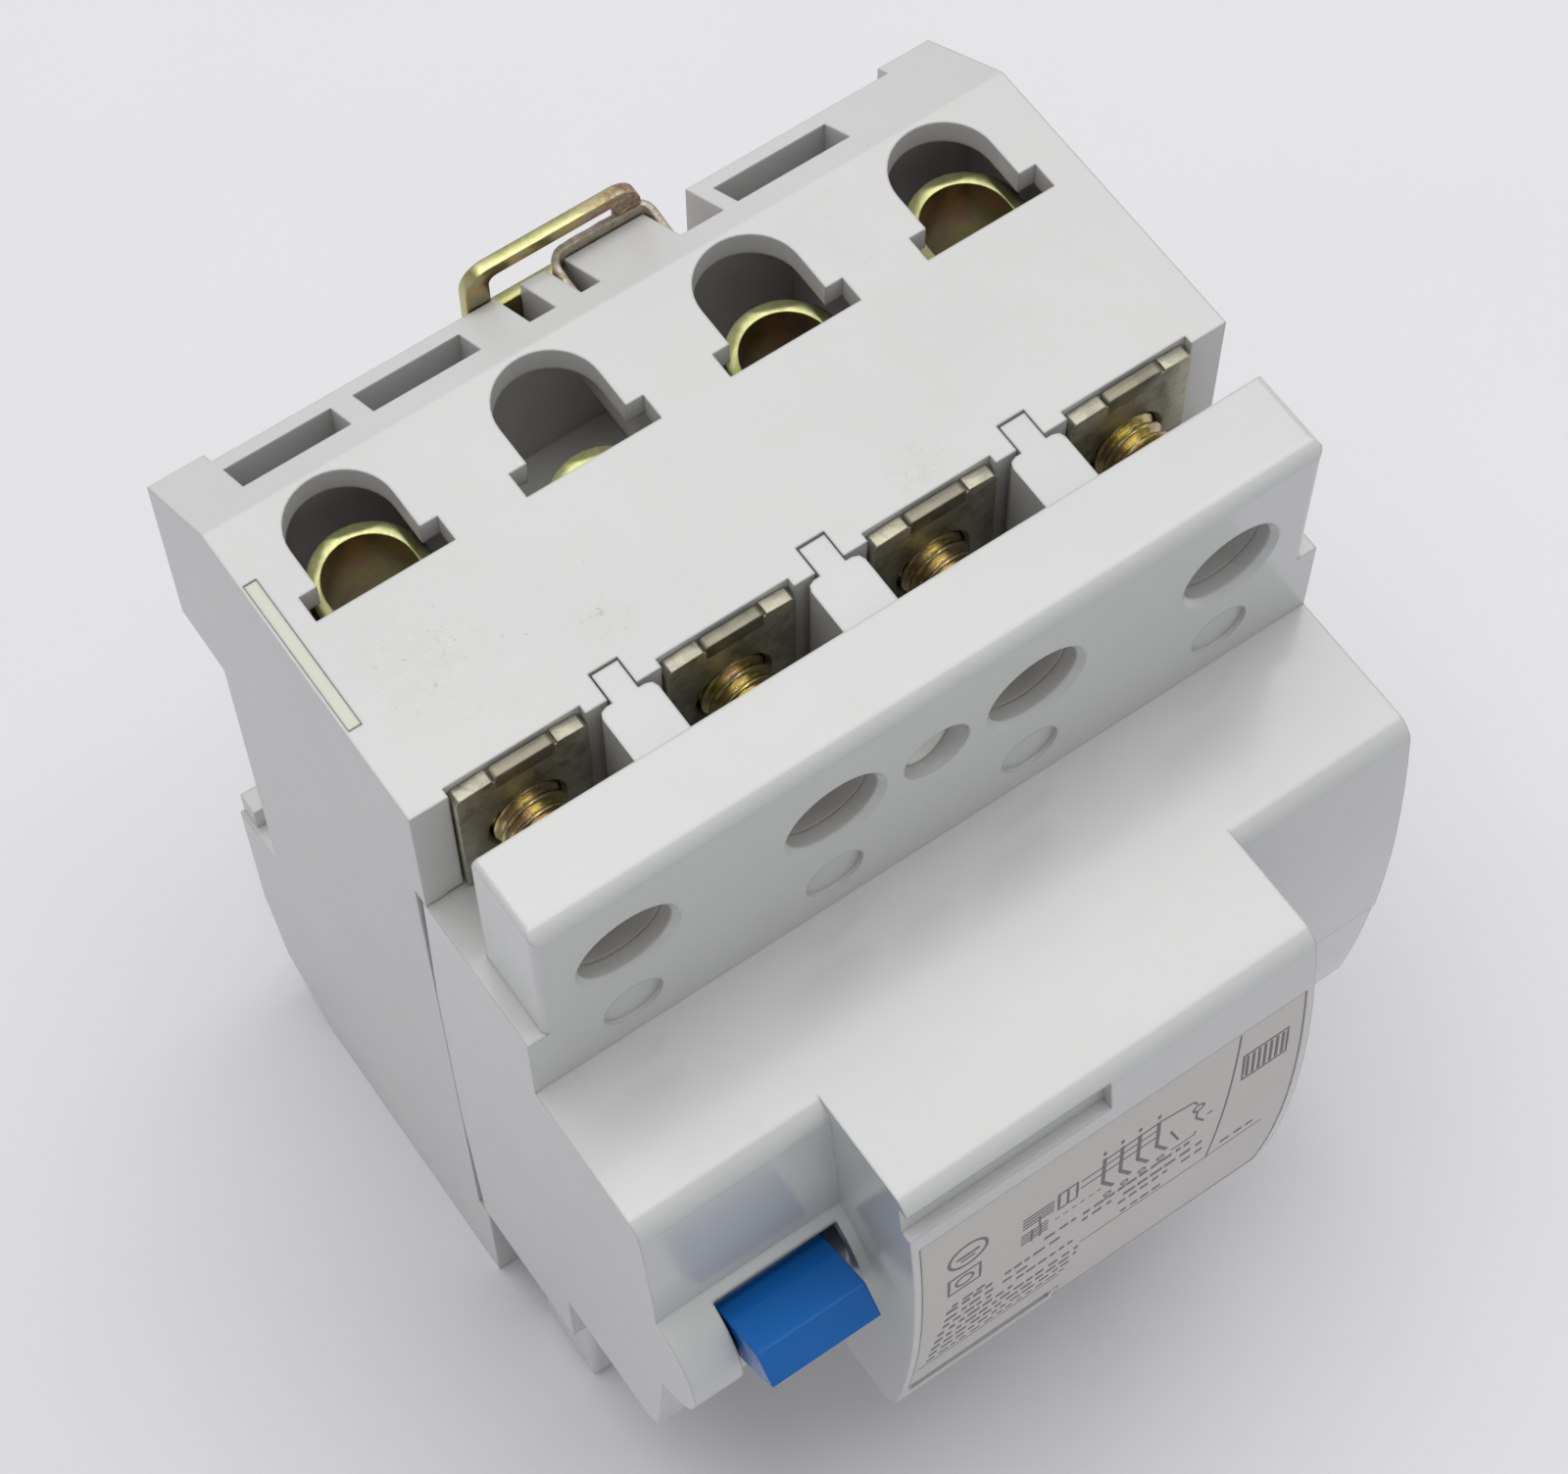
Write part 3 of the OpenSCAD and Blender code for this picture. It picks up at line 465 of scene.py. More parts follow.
def tube_data(path, r, n=10, closed=False, squash=None):
    """Round tube along a path of Vectors."""
    verts, faces = [], []
    m = len(path)
    up = None
    rings = []
    for i, p in enumerate(path):
        a = path[(i - 1) % m] if closed else path[max(i - 1, 0)]
        b = path[(i + 1) % m] if closed else path[min(i + 1, m - 1)]
        t = (b - a).normalized()
        if up is None:
            up = t.orthogonal().normalized()
        else:
            up = (up - t * up.dot(t)).normalized()
        side = t.cross(up)
        ring = []
        for k in range(n):
            q = 2 * math.pi * k / n
            ring.append(len(verts))
            verts.append(p + (up * math.cos(q) + side * math.sin(q)) * r)
        rings.append(ring)
    pairs = list(zip(rings, rings[1:]))
    if closed:
        pairs.append((rings[-1], rings[0]))
    for a, b in pairs:
        for k in range(n):
            k2 = (k + 1) % n
            faces.append([a[k], a[k2], b[k2], b[k]])
    if not closed:
        faces.append(rings[0][::-1])
        faces.append(rings[-1])
    return verts, faces


def join_data(parts):
    verts, faces = [], []
    for v, f in parts:
        o = len(verts)
        verts += list(v)
        faces += [[i + o for i in q] for q in f]
    return verts, faces


# ------------------------------------------------------------------ terminal screws
def screw(row, i, inset, turn):
    """Machine screw with a rolled thread and a combined slot and cross head."""
    node = f"screw_{row}_{i}"
    zc = Z_SCREW if row == "upper" else 90 - Z_SCREW
    cx = px(i)
    n, pitch, r1, r0 = 48, 1.0, 2.88, 2.36
    b0, b1 = 23.45, 43.1 - inset
    steps = int((b1 - b0) / pitch * 8)
    verts, faces = [], []
    cols = []
    for s in range(steps + 1):
        b = b0 + (b1 - b0) * s / steps
        col = []
        for k in range(n):
            a = 2 * math.pi * k / n
            ph = (b / pitch - k / n) % 1.0
            tri = 1 - abs(2 * ph - 1)
            tri = min(1.0, max(0.0, (tri - 0.12) / 0.72))
            fade = min(1.0, (b - b0) / 1.0, (b1 - b) / 0.6 if b1 - b < 0.6 else 1.0)
            r = r0 + (r1 - r0) * tri * max(fade, 0.0)
            col.append(len(verts))
            verts.append(P(cx + r * math.cos(a), b, zc + r * math.sin(a)))
        cols.append(col)
    for a, b in zip(cols, cols[1:]):
        for k in range(n):
            k2 = (k + 1) % n
            faces.append([a[k], a[k2], b[k2], b[k]])
    faces.append(cols[0][::-1])
    faces.append(cols[-1])
    hb = 43 - inset
    prof = [(0, hb), (2.9, hb), (3.42, hb + 0.35), (3.48, hb + 0.6), (3.48, hb + 2.75), (3.3, hb + 3.1), (2.6, hb + 3.32), (0, hb + 3.38)]
    head = raw("h", *lathe_data(prof, lambda u, v, t: P(cx + u, t, zc + v), 56))
    c, s = math.cos(turn), math.sin(turn)

    def rect(w, h, depth):
        pts = [(-w, -h), (w, -h), (w, h), (-w, h)]
        return prism_data([(x * c - y * s, x * s + y * c) for x, y in pts], hb + 3.4 - depth, hb + 4, lambda u, v, t: P(cx + u, t, zc + v))

    cut(head, raw("c1", *rect(4.2, 0.5, 1.3)), raw("c2", *rect(0.42, 2.1, 1.5)))
    body = raw("t", verts, faces)
    bm = bmesh.new()
    bm.from_mesh(body.data)
    bm.from_mesh(head.data)
    me = bpy.data.meshes.new(node + "_piece")
    bm.to_mesh(me)
    bm.free()
    ob = bpy.data.objects.new(node + "_threaded", me)
    bpy.context.scene.collection.objects.link(ob)
    for o in (head, body):
        bpy.data.objects.remove(o)
    dress(ob, node, SCREW, angle=40)


random.seed(7)
for row in ("upper", "lower"):
    for i in range(1, 5):
        screw(row, i, 3.8 if (row, i) == ("upper", 4) else 0.0, random.uniform(0, math.pi))


# ------------------------------------------------------------------ clamping cages
CAGE_B = {("upper", 1): 12.4, ("upper", 2): 16.9, ("upper", 3): 13.9, ("upper", 4): 12.2}


def cage(row, i):
    """Strap cage bent from one strip: arch at the rear, two lapped ends in front with a threaded hole."""
    node = f"cage_{row}_{i}"
    b0 = CAGE_B.get((row, i), 12.4)
    zc = Z_SCREW if row == "upper" else 90 - Z_SCREW
    cx = px(i)
    z0, z1 = zc - 4.8, zc + 4.6
    if row == "lower":
        z0, z1 = zc - 4.6, zc + 4.8
    outer, inner = [], []
    for k in range(25):
        a = math.pi * k / 24
        outer.append((-4.68 * math.cos(a), 4.7 - 4.68 * math.sin(a)))
        inner.append((-3.6 * math.cos(a), 4.7 - 3.6 * math.sin(a)))
    for k in range(7):
        a = math.pi / 2 * k / 6
        outer.append((3.68 + 1.0 * math.cos(a), 15.28 + 1.0 * math.sin(a)))
    for k in range(7):
        a = math.pi / 2 * k / 6
        outer.append((-3.68 - 1.0 * math.sin(a), 15.28 + 1.0 * math.cos(a)))
    inner += [(3.6, 13.2), (3.2, 13.7), (-3.2, 13.7), (-3.6, 13.2)]
    place = lambda u, v, w: P(cx + u, b0 + v, w)
    ob = raw("cg", *prism_data(outer, z0, z1, place))
    cuts = [raw("ci", *prism_data(inner, z0 - 1, z1 + 1, place))]
    # threaded hole through the lapped ends, with a lead-in chamfer each side
    hole = [(0, 12.8), (3.2, 12.8), (3.2, 13.7), (2.96, 13.95)]
    for k in range(6):
        hole += [(2.96, 14.0 + k * 0.35), (3.08, 14.17 + k * 0.35)]
    hole += [(2.96, 16.12), (3.2, 16.35), (3.2, 17), (0, 17)]
    cuts.append(raw("ch", *lathe_data(hole, lambda u, v, t: P(cx + u, b0 + t, zc + v), 40)))
    # the lap line where one strap end lies over the other
    for s in (-1, 1):
        cuts.append(raw("cl", *box_data(cx + s * 4.55 - 0.3, cx + s * 4.55 + 0.3, b0 + 14.92, b0 + 15.04, z0 - 1, z1 + 1)))
    cut(ob, *cuts)
    ob.name = node + "_strap"
    dress(ob, node, ZINC, bevel=0.14, seg=2, angle=38)


for row in ("upper", "lower"):
    for i in range(1, 5):
        cage(row, i)


# ------------------------------------------------------------------ terminal plates
def plates(row):
    """Stamped terminal plates: a dark plate with bevelled corners, a raised tab on the end and a plunged screw hole."""
    sg = 1 if row == "upper" else -1
    z = lambda v: v if row == "upper" else 90 - v
    obs, tabs = [], []
    for i in range(1, 5):
        cx = px(i)
        loop = [(-5.42, 76.5), (5.42, 76.5), (5.42, 88.9), (5.1, 89.35), (2.95, 89.5), (2.85, 89.2), (-2.35, 89.2), (-2.45, 89.5), (-5.1, 89.35), (-5.42, 88.9)]
        base = raw("pl", *prism_data(loop, 35.82, 36.98, lambda u, v, w: P(cx + u, w, z(v))))
        hole = [(0, 35), (3.4, 35), (3.4, 35.85), (3.02, 36.1), (3.02, 36.6), (3.35, 36.99), (3.35, 38), (0, 38)]
        cut(base, raw("ph", *lathe_data(hole, lambda u, v, t: P(cx + u, t, (82 if row == "upper" else 8) + v), 40)))
        obs.append(base)
        tab = [(-2.28, 88.0), (2.78, 88.0), (2.78, 89.52), (2.5, 89.74), (-2.0, 89.74), (-2.28, 89.55)]
        tabs.append(prism_data(tab, 35.95, 37.0, lambda u, v, w: P(cx + u, w, z(v))))
    bm = bmesh.new()
    for o in obs:
        bm.from_mesh(o.data)
        bpy.data.objects.remove(o)
    me = bpy.data.meshes.new("plates_" + row)
    bm.to_mesh(me)
    bm.free()
    ob = bpy.data.objects.new("terminal_plates_%s_stamped" % row, me)
    bpy.context.scene.collection.objects.link(ob)
    node = "terminal_plates_" + row
    dress(ob, node, PLATE, bevel=0.2, seg=2, angle=38)
    v, f = join_data(tabs)
    make("terminal_tabs_" + row, v, f, node, TAB, replaces=True, bevel=0.16, seg=2)


plates("upper")
plates("lower")


# ------------------------------------------------------------------ seal plugs over the cover screws
def plugs():
    """Soft caps pressed into the middle holes: a creased hollow pushed in by a tool, with a rounded rim."""
    parts = []
    for zc in (Z_SCREW, 90 - Z_SCREW):
        n = 48
        verts, faces, rings = [], [], []
        rows = [(2.82, 46.5), (2.82, 47.55), (2.72, 47.72), (2.5, 47.75), (2.2, 47.6), (1.4, 47.05), (0.7, 46.7)]
        for r, b in rows:
            ring_ = []
            for k in range(n):
                a = 2 * math.pi * k / n
                lean = 0.0
                if b > 47:
                    # the lower side was pushed in less than the upper side
                    lean = 0.75 * max(0.0, -math.sin(a + 0.5)) * r / 2.82
                ring_.append(len(verts))
                verts.append(P(r * math.cos(a), b + lean, zc + r * math.sin(a)))
            rings.append(ring_)
        for p, q in zip(rings, rings[1:]):
            faces += [[p[k], p[(k + 1) % n], q[(k + 1) % n], q[k]] for k in range(n)]
        faces.append(rings[0][::-1])
        verts.append(P(0.3, 46.55, zc + 0.5))
        faces += [[rings[-1][k], rings[-1][(k + 1) % n], len(verts) - 1] for k in range(n)]
        parts.append((verts, faces))
    make("seal_plugs_pressed", *join_data(parts), "seal_plugs", PLUG, angle=22)


plugs()


# ------------------------------------------------------------------ scooped screwdriver guides behind the driver holes
def guides():
    """Half bushings that lead a screwdriver to each screw, open on the side towards the screw cage."""
    parts = []
    for zc, up in ((Z_SCREW, 1), (90 - Z_SCREW, -1)):
        for i in range(1, 5):
            n, span = 30, math.radians(218)
            mid_a = -math.pi / 2 * up - 0.25
            rows = [(4.35, 47.85), (3.9, 47.85), (3.88, 46.6), (3.7, 45.2), (3.3, 44.0), (3.25, 43.6), (4.35, 43.6)]
            verts, faces, rings = [], [], []
            for k in range(n + 1):
                a = mid_a - span / 2 + span * k / n
                ring_ = []
                for r, b in rows:
                    ring_.append(len(verts))
                    verts.append(P(px(i) + r * math.cos(a), b, zc + r * math.sin(a)))
                rings.append(ring_)
            m = len(rows)
            for p, q in zip(rings, rings[1:]):
                faces += [[p[j], p[(j + 1) % m], q[(j + 1) % m], q[j]] for j in range(m)]
            faces += [rings[0][::-1], rings[-1]]
            parts.append((verts, faces))
    make("driver_guides", *join_data(parts), "front_cover", KEY, replaces=False, angle=30)


guides()


# ------------------------------------------------------------------ lever
def lever():
    a = math.radians(27)
    rot = lambda y, z: (y * math.cos(-a) - z * math.sin(-a), y * math.sin(-a) + z * math.cos(-a))

    def place(u, v, w):
        # u forward along the arm, v up across it, w along X
        y, z = rot(-u, v)
        return Vector((w * MM, (37 - LEVER_B + y) * MM, (MID + z) * MM))

    hub = [(5.75 * math.cos(2 * math.pi * k / 72), 5.75 * math.sin(2 * math.pi * k / 72)) for k in range(72)]
    ob = raw("lv", *prism_data(hub, -30.3, -20.5, place))
    arm = [(0, -2.58), (5.5, -2.48), (9.6, -1.7), (12.0, -1.0), (11.2, 2.0), (8.2, 2.32), (5.5, 2.5), (0, 2.58)]
    cut(ob, raw("ar", *prism_data(arm, -30.3, -20.5, place)), op="UNION")
    pin = lathe_data([(0, -22.5), (0.65, -22.5), (0.65, -19.45), (0.5, -19.32), (0, -19.32)],
                     lambda u, v, t: P(t, LEVER_B - 4.455 + u, MID + 2.27 + v), 24)
    cut(ob, raw("pn", *pin), op="UNION")
    cut(ob, raw("bo", *lathe_data([(0, -31), (1.55, -31), (1.55, -19), (0, -19)], lambda u, v, t: P(t, LEVER_B + u, MID + v), 40)))
    # weight-saving pocket in the underside, as moulded levers have
    pocket = [(6.8, -3.2), (10.2, -2.6), (10.5, 0.4), (7.0, 0.9)]
    cut(ob, raw("pk", *prism_data(pocket, -28.9, -21.9, place)))
    ob.name = "toggle_lever_moulded"
    dress(ob, "toggle_lever", BLUE, bevel=0.28, seg=3, angle=30)


lever()


# ------------------------------------------------------------------ rail latch
def latch():
    def strap(loop_x, t0, t1):
        return prism_data(loop_x, t0, t1, lambda u, v, w: P(u, w, v))

    def corner(cx, cz, r, a0, a1, n=8):
        return [(cx + r * math.cos(a0 + (a1 - a0) * k / n), cz + r * math.sin(a0 + (a1 - a0) * k / n)) for k in range(n + 1)]

    q = math.pi / 2
    outer = [(-8.0, 63.2), (7.6, 63.2)] + corner(5.4, 86.5, 2.2, 0, q) + corner(-5.8, 86.5, 2.2, q, 2 * q)
    inner = [(-5.9, 83.3), (5.5, 83.3)] + corner(4.8, 86.8, 0.7, 0, q, 5) + corner(-5.2, 86.8, 0.7, q, 2 * q, 5)
    ob = raw("la", *strap(outer, 0.1, 1.19))
    cut(ob, raw("li", *strap(inner, -1, 3)), raw("ls", *box_data(-2.3, 2.7, -1, 3, 65.8, 67.4)), raw("lh", *box_data(5, 8, 0.54, 2, 83.5, 86.1)))
    # wedge nose that snaps over the rail
    wedge = [(-0.5, 62.9), (0.75, 62.9), (-0.5, 65.4)]
    cut(ob, raw("lw", *prism_data(wedge, -12, 12, lambda u, v, w: P(w, u, v))))
    ob.name = "rail_latch_pressed"
    dress(ob, "rail_latch", LATCH, bevel=0.2, seg=3, angle=38)
    # spring clip: one strip bent round the middle block, a little uneven along its sheared edges
    path = [(-0.70, 5.9), (-0.70, 4.6), (-0.70, 3.4), (-0.69, 2.5), (-0.62, 2.0), (-0.45, 1.6), (-0.2, 1.3), (0.1, 1.08), (0.5, 0.94), (0.9, 0.88)]
    path += [(0.9 + 0.64 * k, 0.88) for k in range(1, 10)]
    path += [(7.1, 0.88), (7.5, 0.92), (7.8, 1.05), (8.0, 1.3), (8.08, 1.7), (8.1, 2.3), (8.1, 3.2), (8.1, 4.1), (8.1, 4.95)]
    verts, faces = [], []
    for k, (x, b) in enumerate(path):
        a2, b2 = path[max(k - 1, 0)], path[min(k + 1, len(path) - 1)]
        d = Vector((b2[0] - a2[0], b2[1] - a2[1])).normalized()
        w = 0.31
        top = 85.93 + 0.05 * math.sin(k * 1.9) - 0.05
        bot = 83.66 + 0.04 * math.sin(k * 2.7)
        if k < 3:
            top -= 0.12 * (3 - k)
        if k > len(path) - 5:
            top -= 0.1 * (k - len(path) + 5)
        for sx, z in ((w, bot), (-w, bot), (-w, top), (w, top)):
            verts.append(P(x - d.y * sx, b + d.x * sx, z))
        if k:
            o = (k - 1) * 4
            faces += [[o + j, o + (j + 1) % 4, o + 4 + (j + 1) % 4, o + 4 + j] for j in range(4)]
    faces += [[3, 2, 1, 0], [len(verts) - 4 + j for j in range(4)]]
    make("rail_latch_spring_bent", verts, faces, "rail_latch_spring", RUSTY, bevel=0.12, seg=2, angle=40)


latch()


# ------------------------------------------------------------------ coil springs as real helices
def helix(name, node, axis, centre, r, wire, t0, t1, turns, start=0.0, n=26, body=None):
    """centre (x, b, z) without the axis coordinate; ends closed flat."""
    path = []
    total = int((turns + 2) * n)
    for k in range(total + 1):
        q = k / n
        if q < 1:
            t = t0 + wire + 2 * wire * 0.9 * q
        elif q > turns + 1:
            t = t1 - wire - 2 * wire * 0.9 * (turns + 2 - q)
        else:
            lo, hi = t0 + wire * 2.8, t1 - wire * 2.8
            t = lo + (hi - lo) * (q - 1) / turns
        a = 2 * math.pi * q + start
        if axis == "y":
            path.append(P(centre[0] + r * math.cos(a), t, centre[2] + r * math.sin(a)))
        else:
            path.append(P(t, centre[1] + r * math.cos(a), centre[2] + r * math.sin(a)))
    return tube_data(path, wire * MM, 10)


parts = [helix("s", "opening_springs", "y", (x, 0, 53.25), 2.4, 0.35, 8.25, 28.9, 7.5) for x in (-17.5, 17.5)]
make("opening_springs_coiled", *join_data(parts), "opening_springs", WIRE, angle=50)
parts = [helix("s", "contact_springs", "y", (px(i), 0, 53.25), 1.9, 0.26, 26.25, 28.95, 2.0) for i in range(1, 5)]
make("contact_springs_coiled", *join_data(parts), "contact_springs", WIRE, angle=50)
make("test_button_spring_coiled", *helix("s", "test_button_spring", "y", (27, 0, 30.6), 2.9, 0.3, 55.05, 60.95, 3.2), "test_button_spring", WIRE, angle=50)
make("toggle_spring_coiled", *helix("s", "toggle_spring", "x", (0, LEVER_B, MID), 2.2, 0.28, -33.0, -30.65, 1.6), "toggle_spring", WIRE, angle=50)


# ------------------------------------------------------------------ transformer winding: one continuous wire round the core
def winding():
    path = []
    turns, per = 46, 16
    cx, cb = 0.0, 22.0
    a0, a1 = math.radians(12), math.radians(348)
    for k in range(turns * per + 1):
        q = k / per
        a = a0 + (a1 - a0) * k / (turns * per)
        u = 2 * math.pi * q
        # rounded rectangle section around the core
        cr, cz = math.cos(u), math.sin(u)
        s = 1 / max(abs(cr) ** 4 + abs(cz) ** 4, 1e-6) ** 0.25
        rr = 9.5 + 2.35 * cr * min(s, 1.12)
        zz = 31.0 + 3.85 * cz * min(s, 1.12)
        path.append(P(cx + rr * math.sin(a), cb + rr * math.cos(a), zz))
    make("transformer_winding_wound", *tube_data(path, 0.3 * MM, 8), "transformer_winding", COPPER, angle=60)


winding()


# ------------------------------------------------------------------ print on the label plate, generic marks only
R_LABEL = 129.95
LABEL_C = P(0, 73.95 - R_LABEL, MID)


def on_label(x, z, lift):
    """Point on the crowned label plate, lifted along its normal, all in mm."""
    ang = math.asin((z - MID) / R_LABEL)
    r = R_LABEL + lift
    return Vector((x * MM, LABEL_C.y - r * math.cos(ang) * MM, (MID + r * math.sin(ang)) * MM))


def stroke(pts, w, parts, lift=0.016):
    """A flat printed stroke along points (x, z), as a thin closed strip that follows the crown."""
    fine = [pts[0]]
    for a, b in zip(pts, pts[1:]):
        d = math.dist(a, b)
        m = max(1, int(d / 1.2))
        fine += [(a[0] + (b[0] - a[0]) * k / m, a[1] + (b[1] - a[1]) * k / m) for k in range(1, m + 1)]
    verts, faces = [], []
    for k, p in enumerate(fine):
        a, b = fine[max(k - 1, 0)], fine[min(k + 1, len(fine) - 1)]
        d = Vector((b[0] - a[0], b[1] - a[1])).normalized()
        nx, nz = -d.y * w / 2, d.x * w / 2
        for sx, h in ((1, -0.02), (-1, -0.02), (-1, lift), (1, lift)):
            verts.append(on_label(p[0] + sx * nx, p[1] + sx * nz, h))
        if k:
            o = (k - 1) * 4
            faces += [[o + j, o + (j + 1) % 4, o + 4 + (j + 1) % 4, o + 4 + j] for j in range(4)]
    faces += [[3, 2, 1, 0], [len(verts) - 4 + j for j in range(4)]]
    parts.append((verts, faces))


def ring(x, z, r, w, parts, n=20):
    stroke([(x + r * math.cos(2 * math.pi * k / n), z + r * math.sin(2 * math.pi * k / n)) for k in range(n + 1)], w, parts)


def dashes(x0, x1, z, w, parts, seed):
    rnd = random.Random(seed)
    x = x0
    while x < x1 - 0.3:
        l = min(rnd.uniform(0.45, 1.15), x1 - x)
        stroke([(x, z), (x + l, z)], w, parts)
        x += l + rnd.uniform(0.22, 0.5)


def label_print():
    parts = []
    # wiring sketch: four lines with opening contacts
    for x in (-0.95, 0.7, 2.35, 4.15):
        stroke([(x, 54.9), (x - 0.05, 50.6)], 0.36, parts)
        stroke([(x - 0.05, 50.6), (x + 1.05, 48.6)], 0.36, parts)
        ring(x + 0.55, 47.6, 0.32, 0.16, parts, 12)
        stroke([(x - 0.15, 55.8), (x + 0.15, 55.8)], 0.5, parts)
        stroke([(x + 0.4, 46.7), (x + 0.7, 46.7)], 0.5, parts)
    stroke([(5.4, 51.6), (6.3, 48.9)], 0.22, parts)
    stroke([(-0.95, 54.6), (4.4, 54.8), (7.5, 54.2), (7.8, 53.5)], 0.2, parts)
    ring(8.0, 52.6, 0.5, 0.22, parts, 14)
    stroke([(7.9, 52.1), (7.85, 50.9), (8.7, 49.4)], 0.22, parts)
    stroke([(9.0, 50.2), (9.5, 50.2)], 0.2, parts)
    stroke([(5.7, 47.6), (8.0, 47.6), (8.0, 48.2)], 0.16, parts)
    for z in (53.6, 52.4):
        stroke([(-3.1, z), (4.2, z)], 0.17, parts)
    # summation and trip boxes at the left of the sketch
    stroke([(-5.15, 53.9), (-3.45, 53.9), (-3.45, 51.2), (-5.15, 51.2), (-5.15, 54.0)], 0.28, parts)
    stroke([(-4.3, 53.8), (-4.3, 51.3)], 0.24, parts)
    for k in range(4):
        stroke([(-8.5, 53.4 - k * 0.55), (-5.6, 53.4 - k * 0.55)], 0.22, parts)
    stroke([(-6.9, 52.4), (-6.9, 50.8)], 0.18, parts)
    for k in range(4):
        stroke([(-8.6, 50.5 - k * 0.55), (-6.1, 50.5 - k * 0.55)], 0.2, parts)
    stroke([(-7.6, 50.7), (-7.6, 48.4)], 0.2, parts)
    stroke([(-6.8, 50.7), (-6.8, 48.4)], 0.2, parts)
    for k in range(6):
        stroke([(-5.4 + k * 0.78, 49.6), (-5.0 + k * 0.78, 49.6)], 0.14, parts)
    # plain geometric marks in place of the approval marks
    ring(-13.55, 54.35, 1.75, 0.28, parts, 28)
    stroke([(-14.6, 54.35), (-12.5, 54.35)], 0.34, parts)
    stroke([(-14.2, 53.7), (-12.9, 53.7)], 0.24, parts)
    stroke([(-15.3, 51.3), (-12.4, 51.3), (-12.4, 48.4), (-15.3, 48.4), (-15.3, 51.4)], 0.26, parts)
    ring(-13.85, 49.85, 0.8, 0.24, parts, 16)
    # the box at the right holds a plain hatched square
    for k in range(7):
        stroke([(12.5 + k * 0.56, 56.1), (12.5 + k * 0.56, 52.7)], 0.3, parts)
    stroke([(12.1, 56.4), (16.3, 56.4), (16.3, 52.4), (12.1, 52.4), (12.1, 56.5)], 0.24, parts)
    # rows of short dashes in place of the printed lines
    rows = [(-15.4, -11.1, 44.7, 0.55), (-14.9, -11.4, 45.6, 0.4), (-15.5, -10.9, 43.2, 0.5), (-15.6, -11.0, 41.8, 0.5), (-9.9, -4.6, 44.8, 0.5),
            (-10.0, -6.9, 43.1, 0.5), (-6.3, -2.8, 46.8, 0.45), (-8.6, -2.8, 41.6, 0.5), (-16.0, -8.9, 40.4, 0.6), (-16.2, -2.4, 38.9, 0.6),
            (-16.4, -2.4, 37.4, 0.55), (-16.5, -2.6, 35.9, 0.5), (-16.6, -3.0, 34.4, 0.4),
            (-2.6, 7.9, 46.6, 0.5), (-2.6, 0.2, 45.2, 0.5), (1.4, 9.0, 44.8, 0.55), (1.0, 6.0, 43.3, 0.5), (7.2, 9.2, 43.0, 0.5),
            (1.5, 5.6, 40.7, 0.5), (11.2, 15.2, 41.2, 0.45)]
    for k, (a, b, z, w) in enumerate(rows):
        dashes(a, b, z, w, parts, k)
    # frame lines
    stroke([(11.65, 60.2), (10.8, 50), (10.0, 39.9)], 0.17, parts)
    stroke([(-2.3, 39.7), (15.6, 39.7)], 0.13, parts)
    stroke([(-17.3, 33.3), (-3.5, 33.3)], 0.14, parts)
    make("label_print", *join_data(parts), "label_plate", INK, replaces=False, slot="label_ivory", smooth=False)


label_print()


# ------------------------------------------------------------------ floor, light, camera
def stage():
    me = bpy.data.meshes.new("floor")
    s = 1.6
    me.from_pydata([(-s, -s, -0.00002), (s, -s, -0.00002), (s, s, -0.00002), (-s, s, -0.00002)], [], [(0, 1, 2, 3)])
    ob = bpy.data.objects.new("floor", me)
    bpy.context.scene.collection.objects.link(ob)
    t = NT("floor_paper")
    c = t.mix(t.ramp(t.noise(9, 3), [(0.3, 0.0), (0.7, 1.0)]), (0.735, 0.73, 0.755), (0.76, 0.755, 0.78))
    t.bsdf.inputs["Roughness"].default_value = 0.9
    ob.data.materials.append(t.finish(c, None, t.bump(t.noise(1500, 3), 0.1, 0.0001)))


stage()


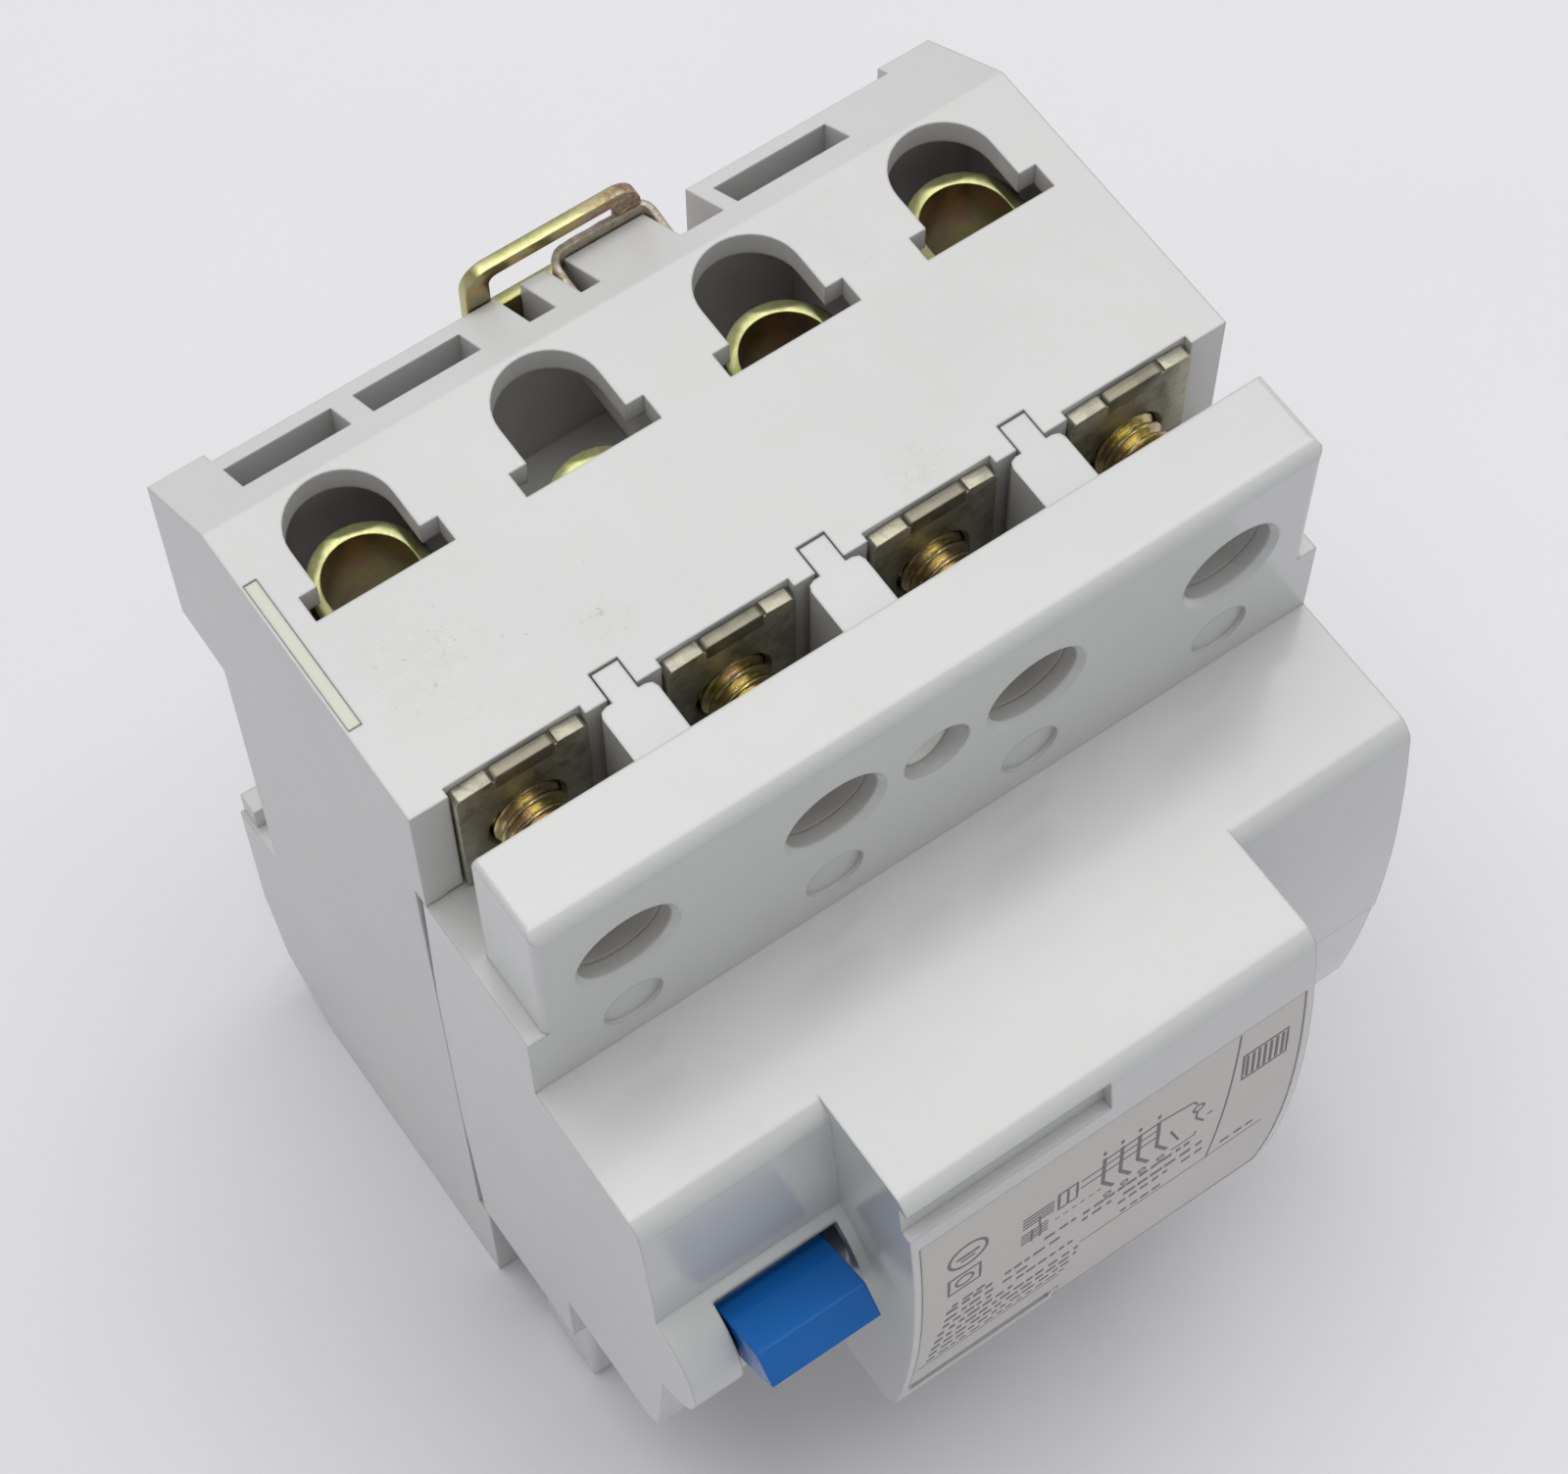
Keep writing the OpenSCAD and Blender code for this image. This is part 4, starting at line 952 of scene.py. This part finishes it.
def area(name, loc, target, size, power, color=(1, 1, 1)):
    d = bpy.data.lights.new(name, "AREA")
    d.shape = "RECTANGLE"
    d.size, d.size_y = size
    d.energy = power
    d.color = color
    ob = bpy.data.objects.new(name, d)
    ob.location = loc
    ob.rotation_mode = "QUATERNION"
    ob.rotation_quaternion = (Vector(target) - Vector(loc)).to_track_quat("-Z", "Y")
    bpy.context.scene.collection.objects.link(ob)


area("key_soft", (0.06, 0.14, 1.2), (0, 0, 0.05), (1.3, 1.0), 10.5, (1.0, 1.0, 0.985))
area("fill_front", (-0.6, -0.85, 0.6), (0, 0, 0.04), (0.9, 0.7), 0.25, (1.0, 1.0, 1.0))
area("fill_right", (0.85, -0.2, 0.6), (0, 0, 0.04), (0.7, 0.6), 0.65, (1.0, 1.0, 0.99))

world = bpy.data.worlds.new("studio")
bpy.context.scene.world = world
world.use_nodes = True
bg = world.node_tree.nodes["Background"]
bg.inputs[0].default_value = (0.99, 0.985, 1.0, 1)
bg.inputs[1].default_value = 0.45

bpy.context.scene.view_settings.view_transform = "Standard"
bpy.context.scene.view_settings.look = "None"
bpy.context.scene.view_settings.exposure = 0.0


def camera():
    az, el, roll = math.radians(-34.433), math.radians(62.737), math.radians(-0.531)
    f = 4007.3
    z = Vector((math.sin(az) * math.cos(el), -math.cos(az) * math.cos(el), math.sin(el)))
    x = Vector((0, 0, 1)).cross(z).normalized()
    y = z.cross(x)
    x2 = x * math.cos(roll) + y * math.sin(roll)
    y2 = -x * math.sin(roll) + y * math.cos(roll)
    cam = bpy.data.cameras.new("camera")
    cam.sensor_fit = "HORIZONTAL"
    cam.sensor_width = 36
    cam.lens = f / 1600 * 36
    cam.clip_start, cam.clip_end = 0.01, 10
    ob = bpy.data.objects.new("camera", cam)
    m = Matrix((x2, y2, z)).transposed().to_4x4()
    m.translation = Vector((-0.080175, -0.110423, 0.329028))
    ob.matrix_world = m
    bpy.context.scene.collection.objects.link(ob)
    bpy.context.scene.camera = ob


camera()
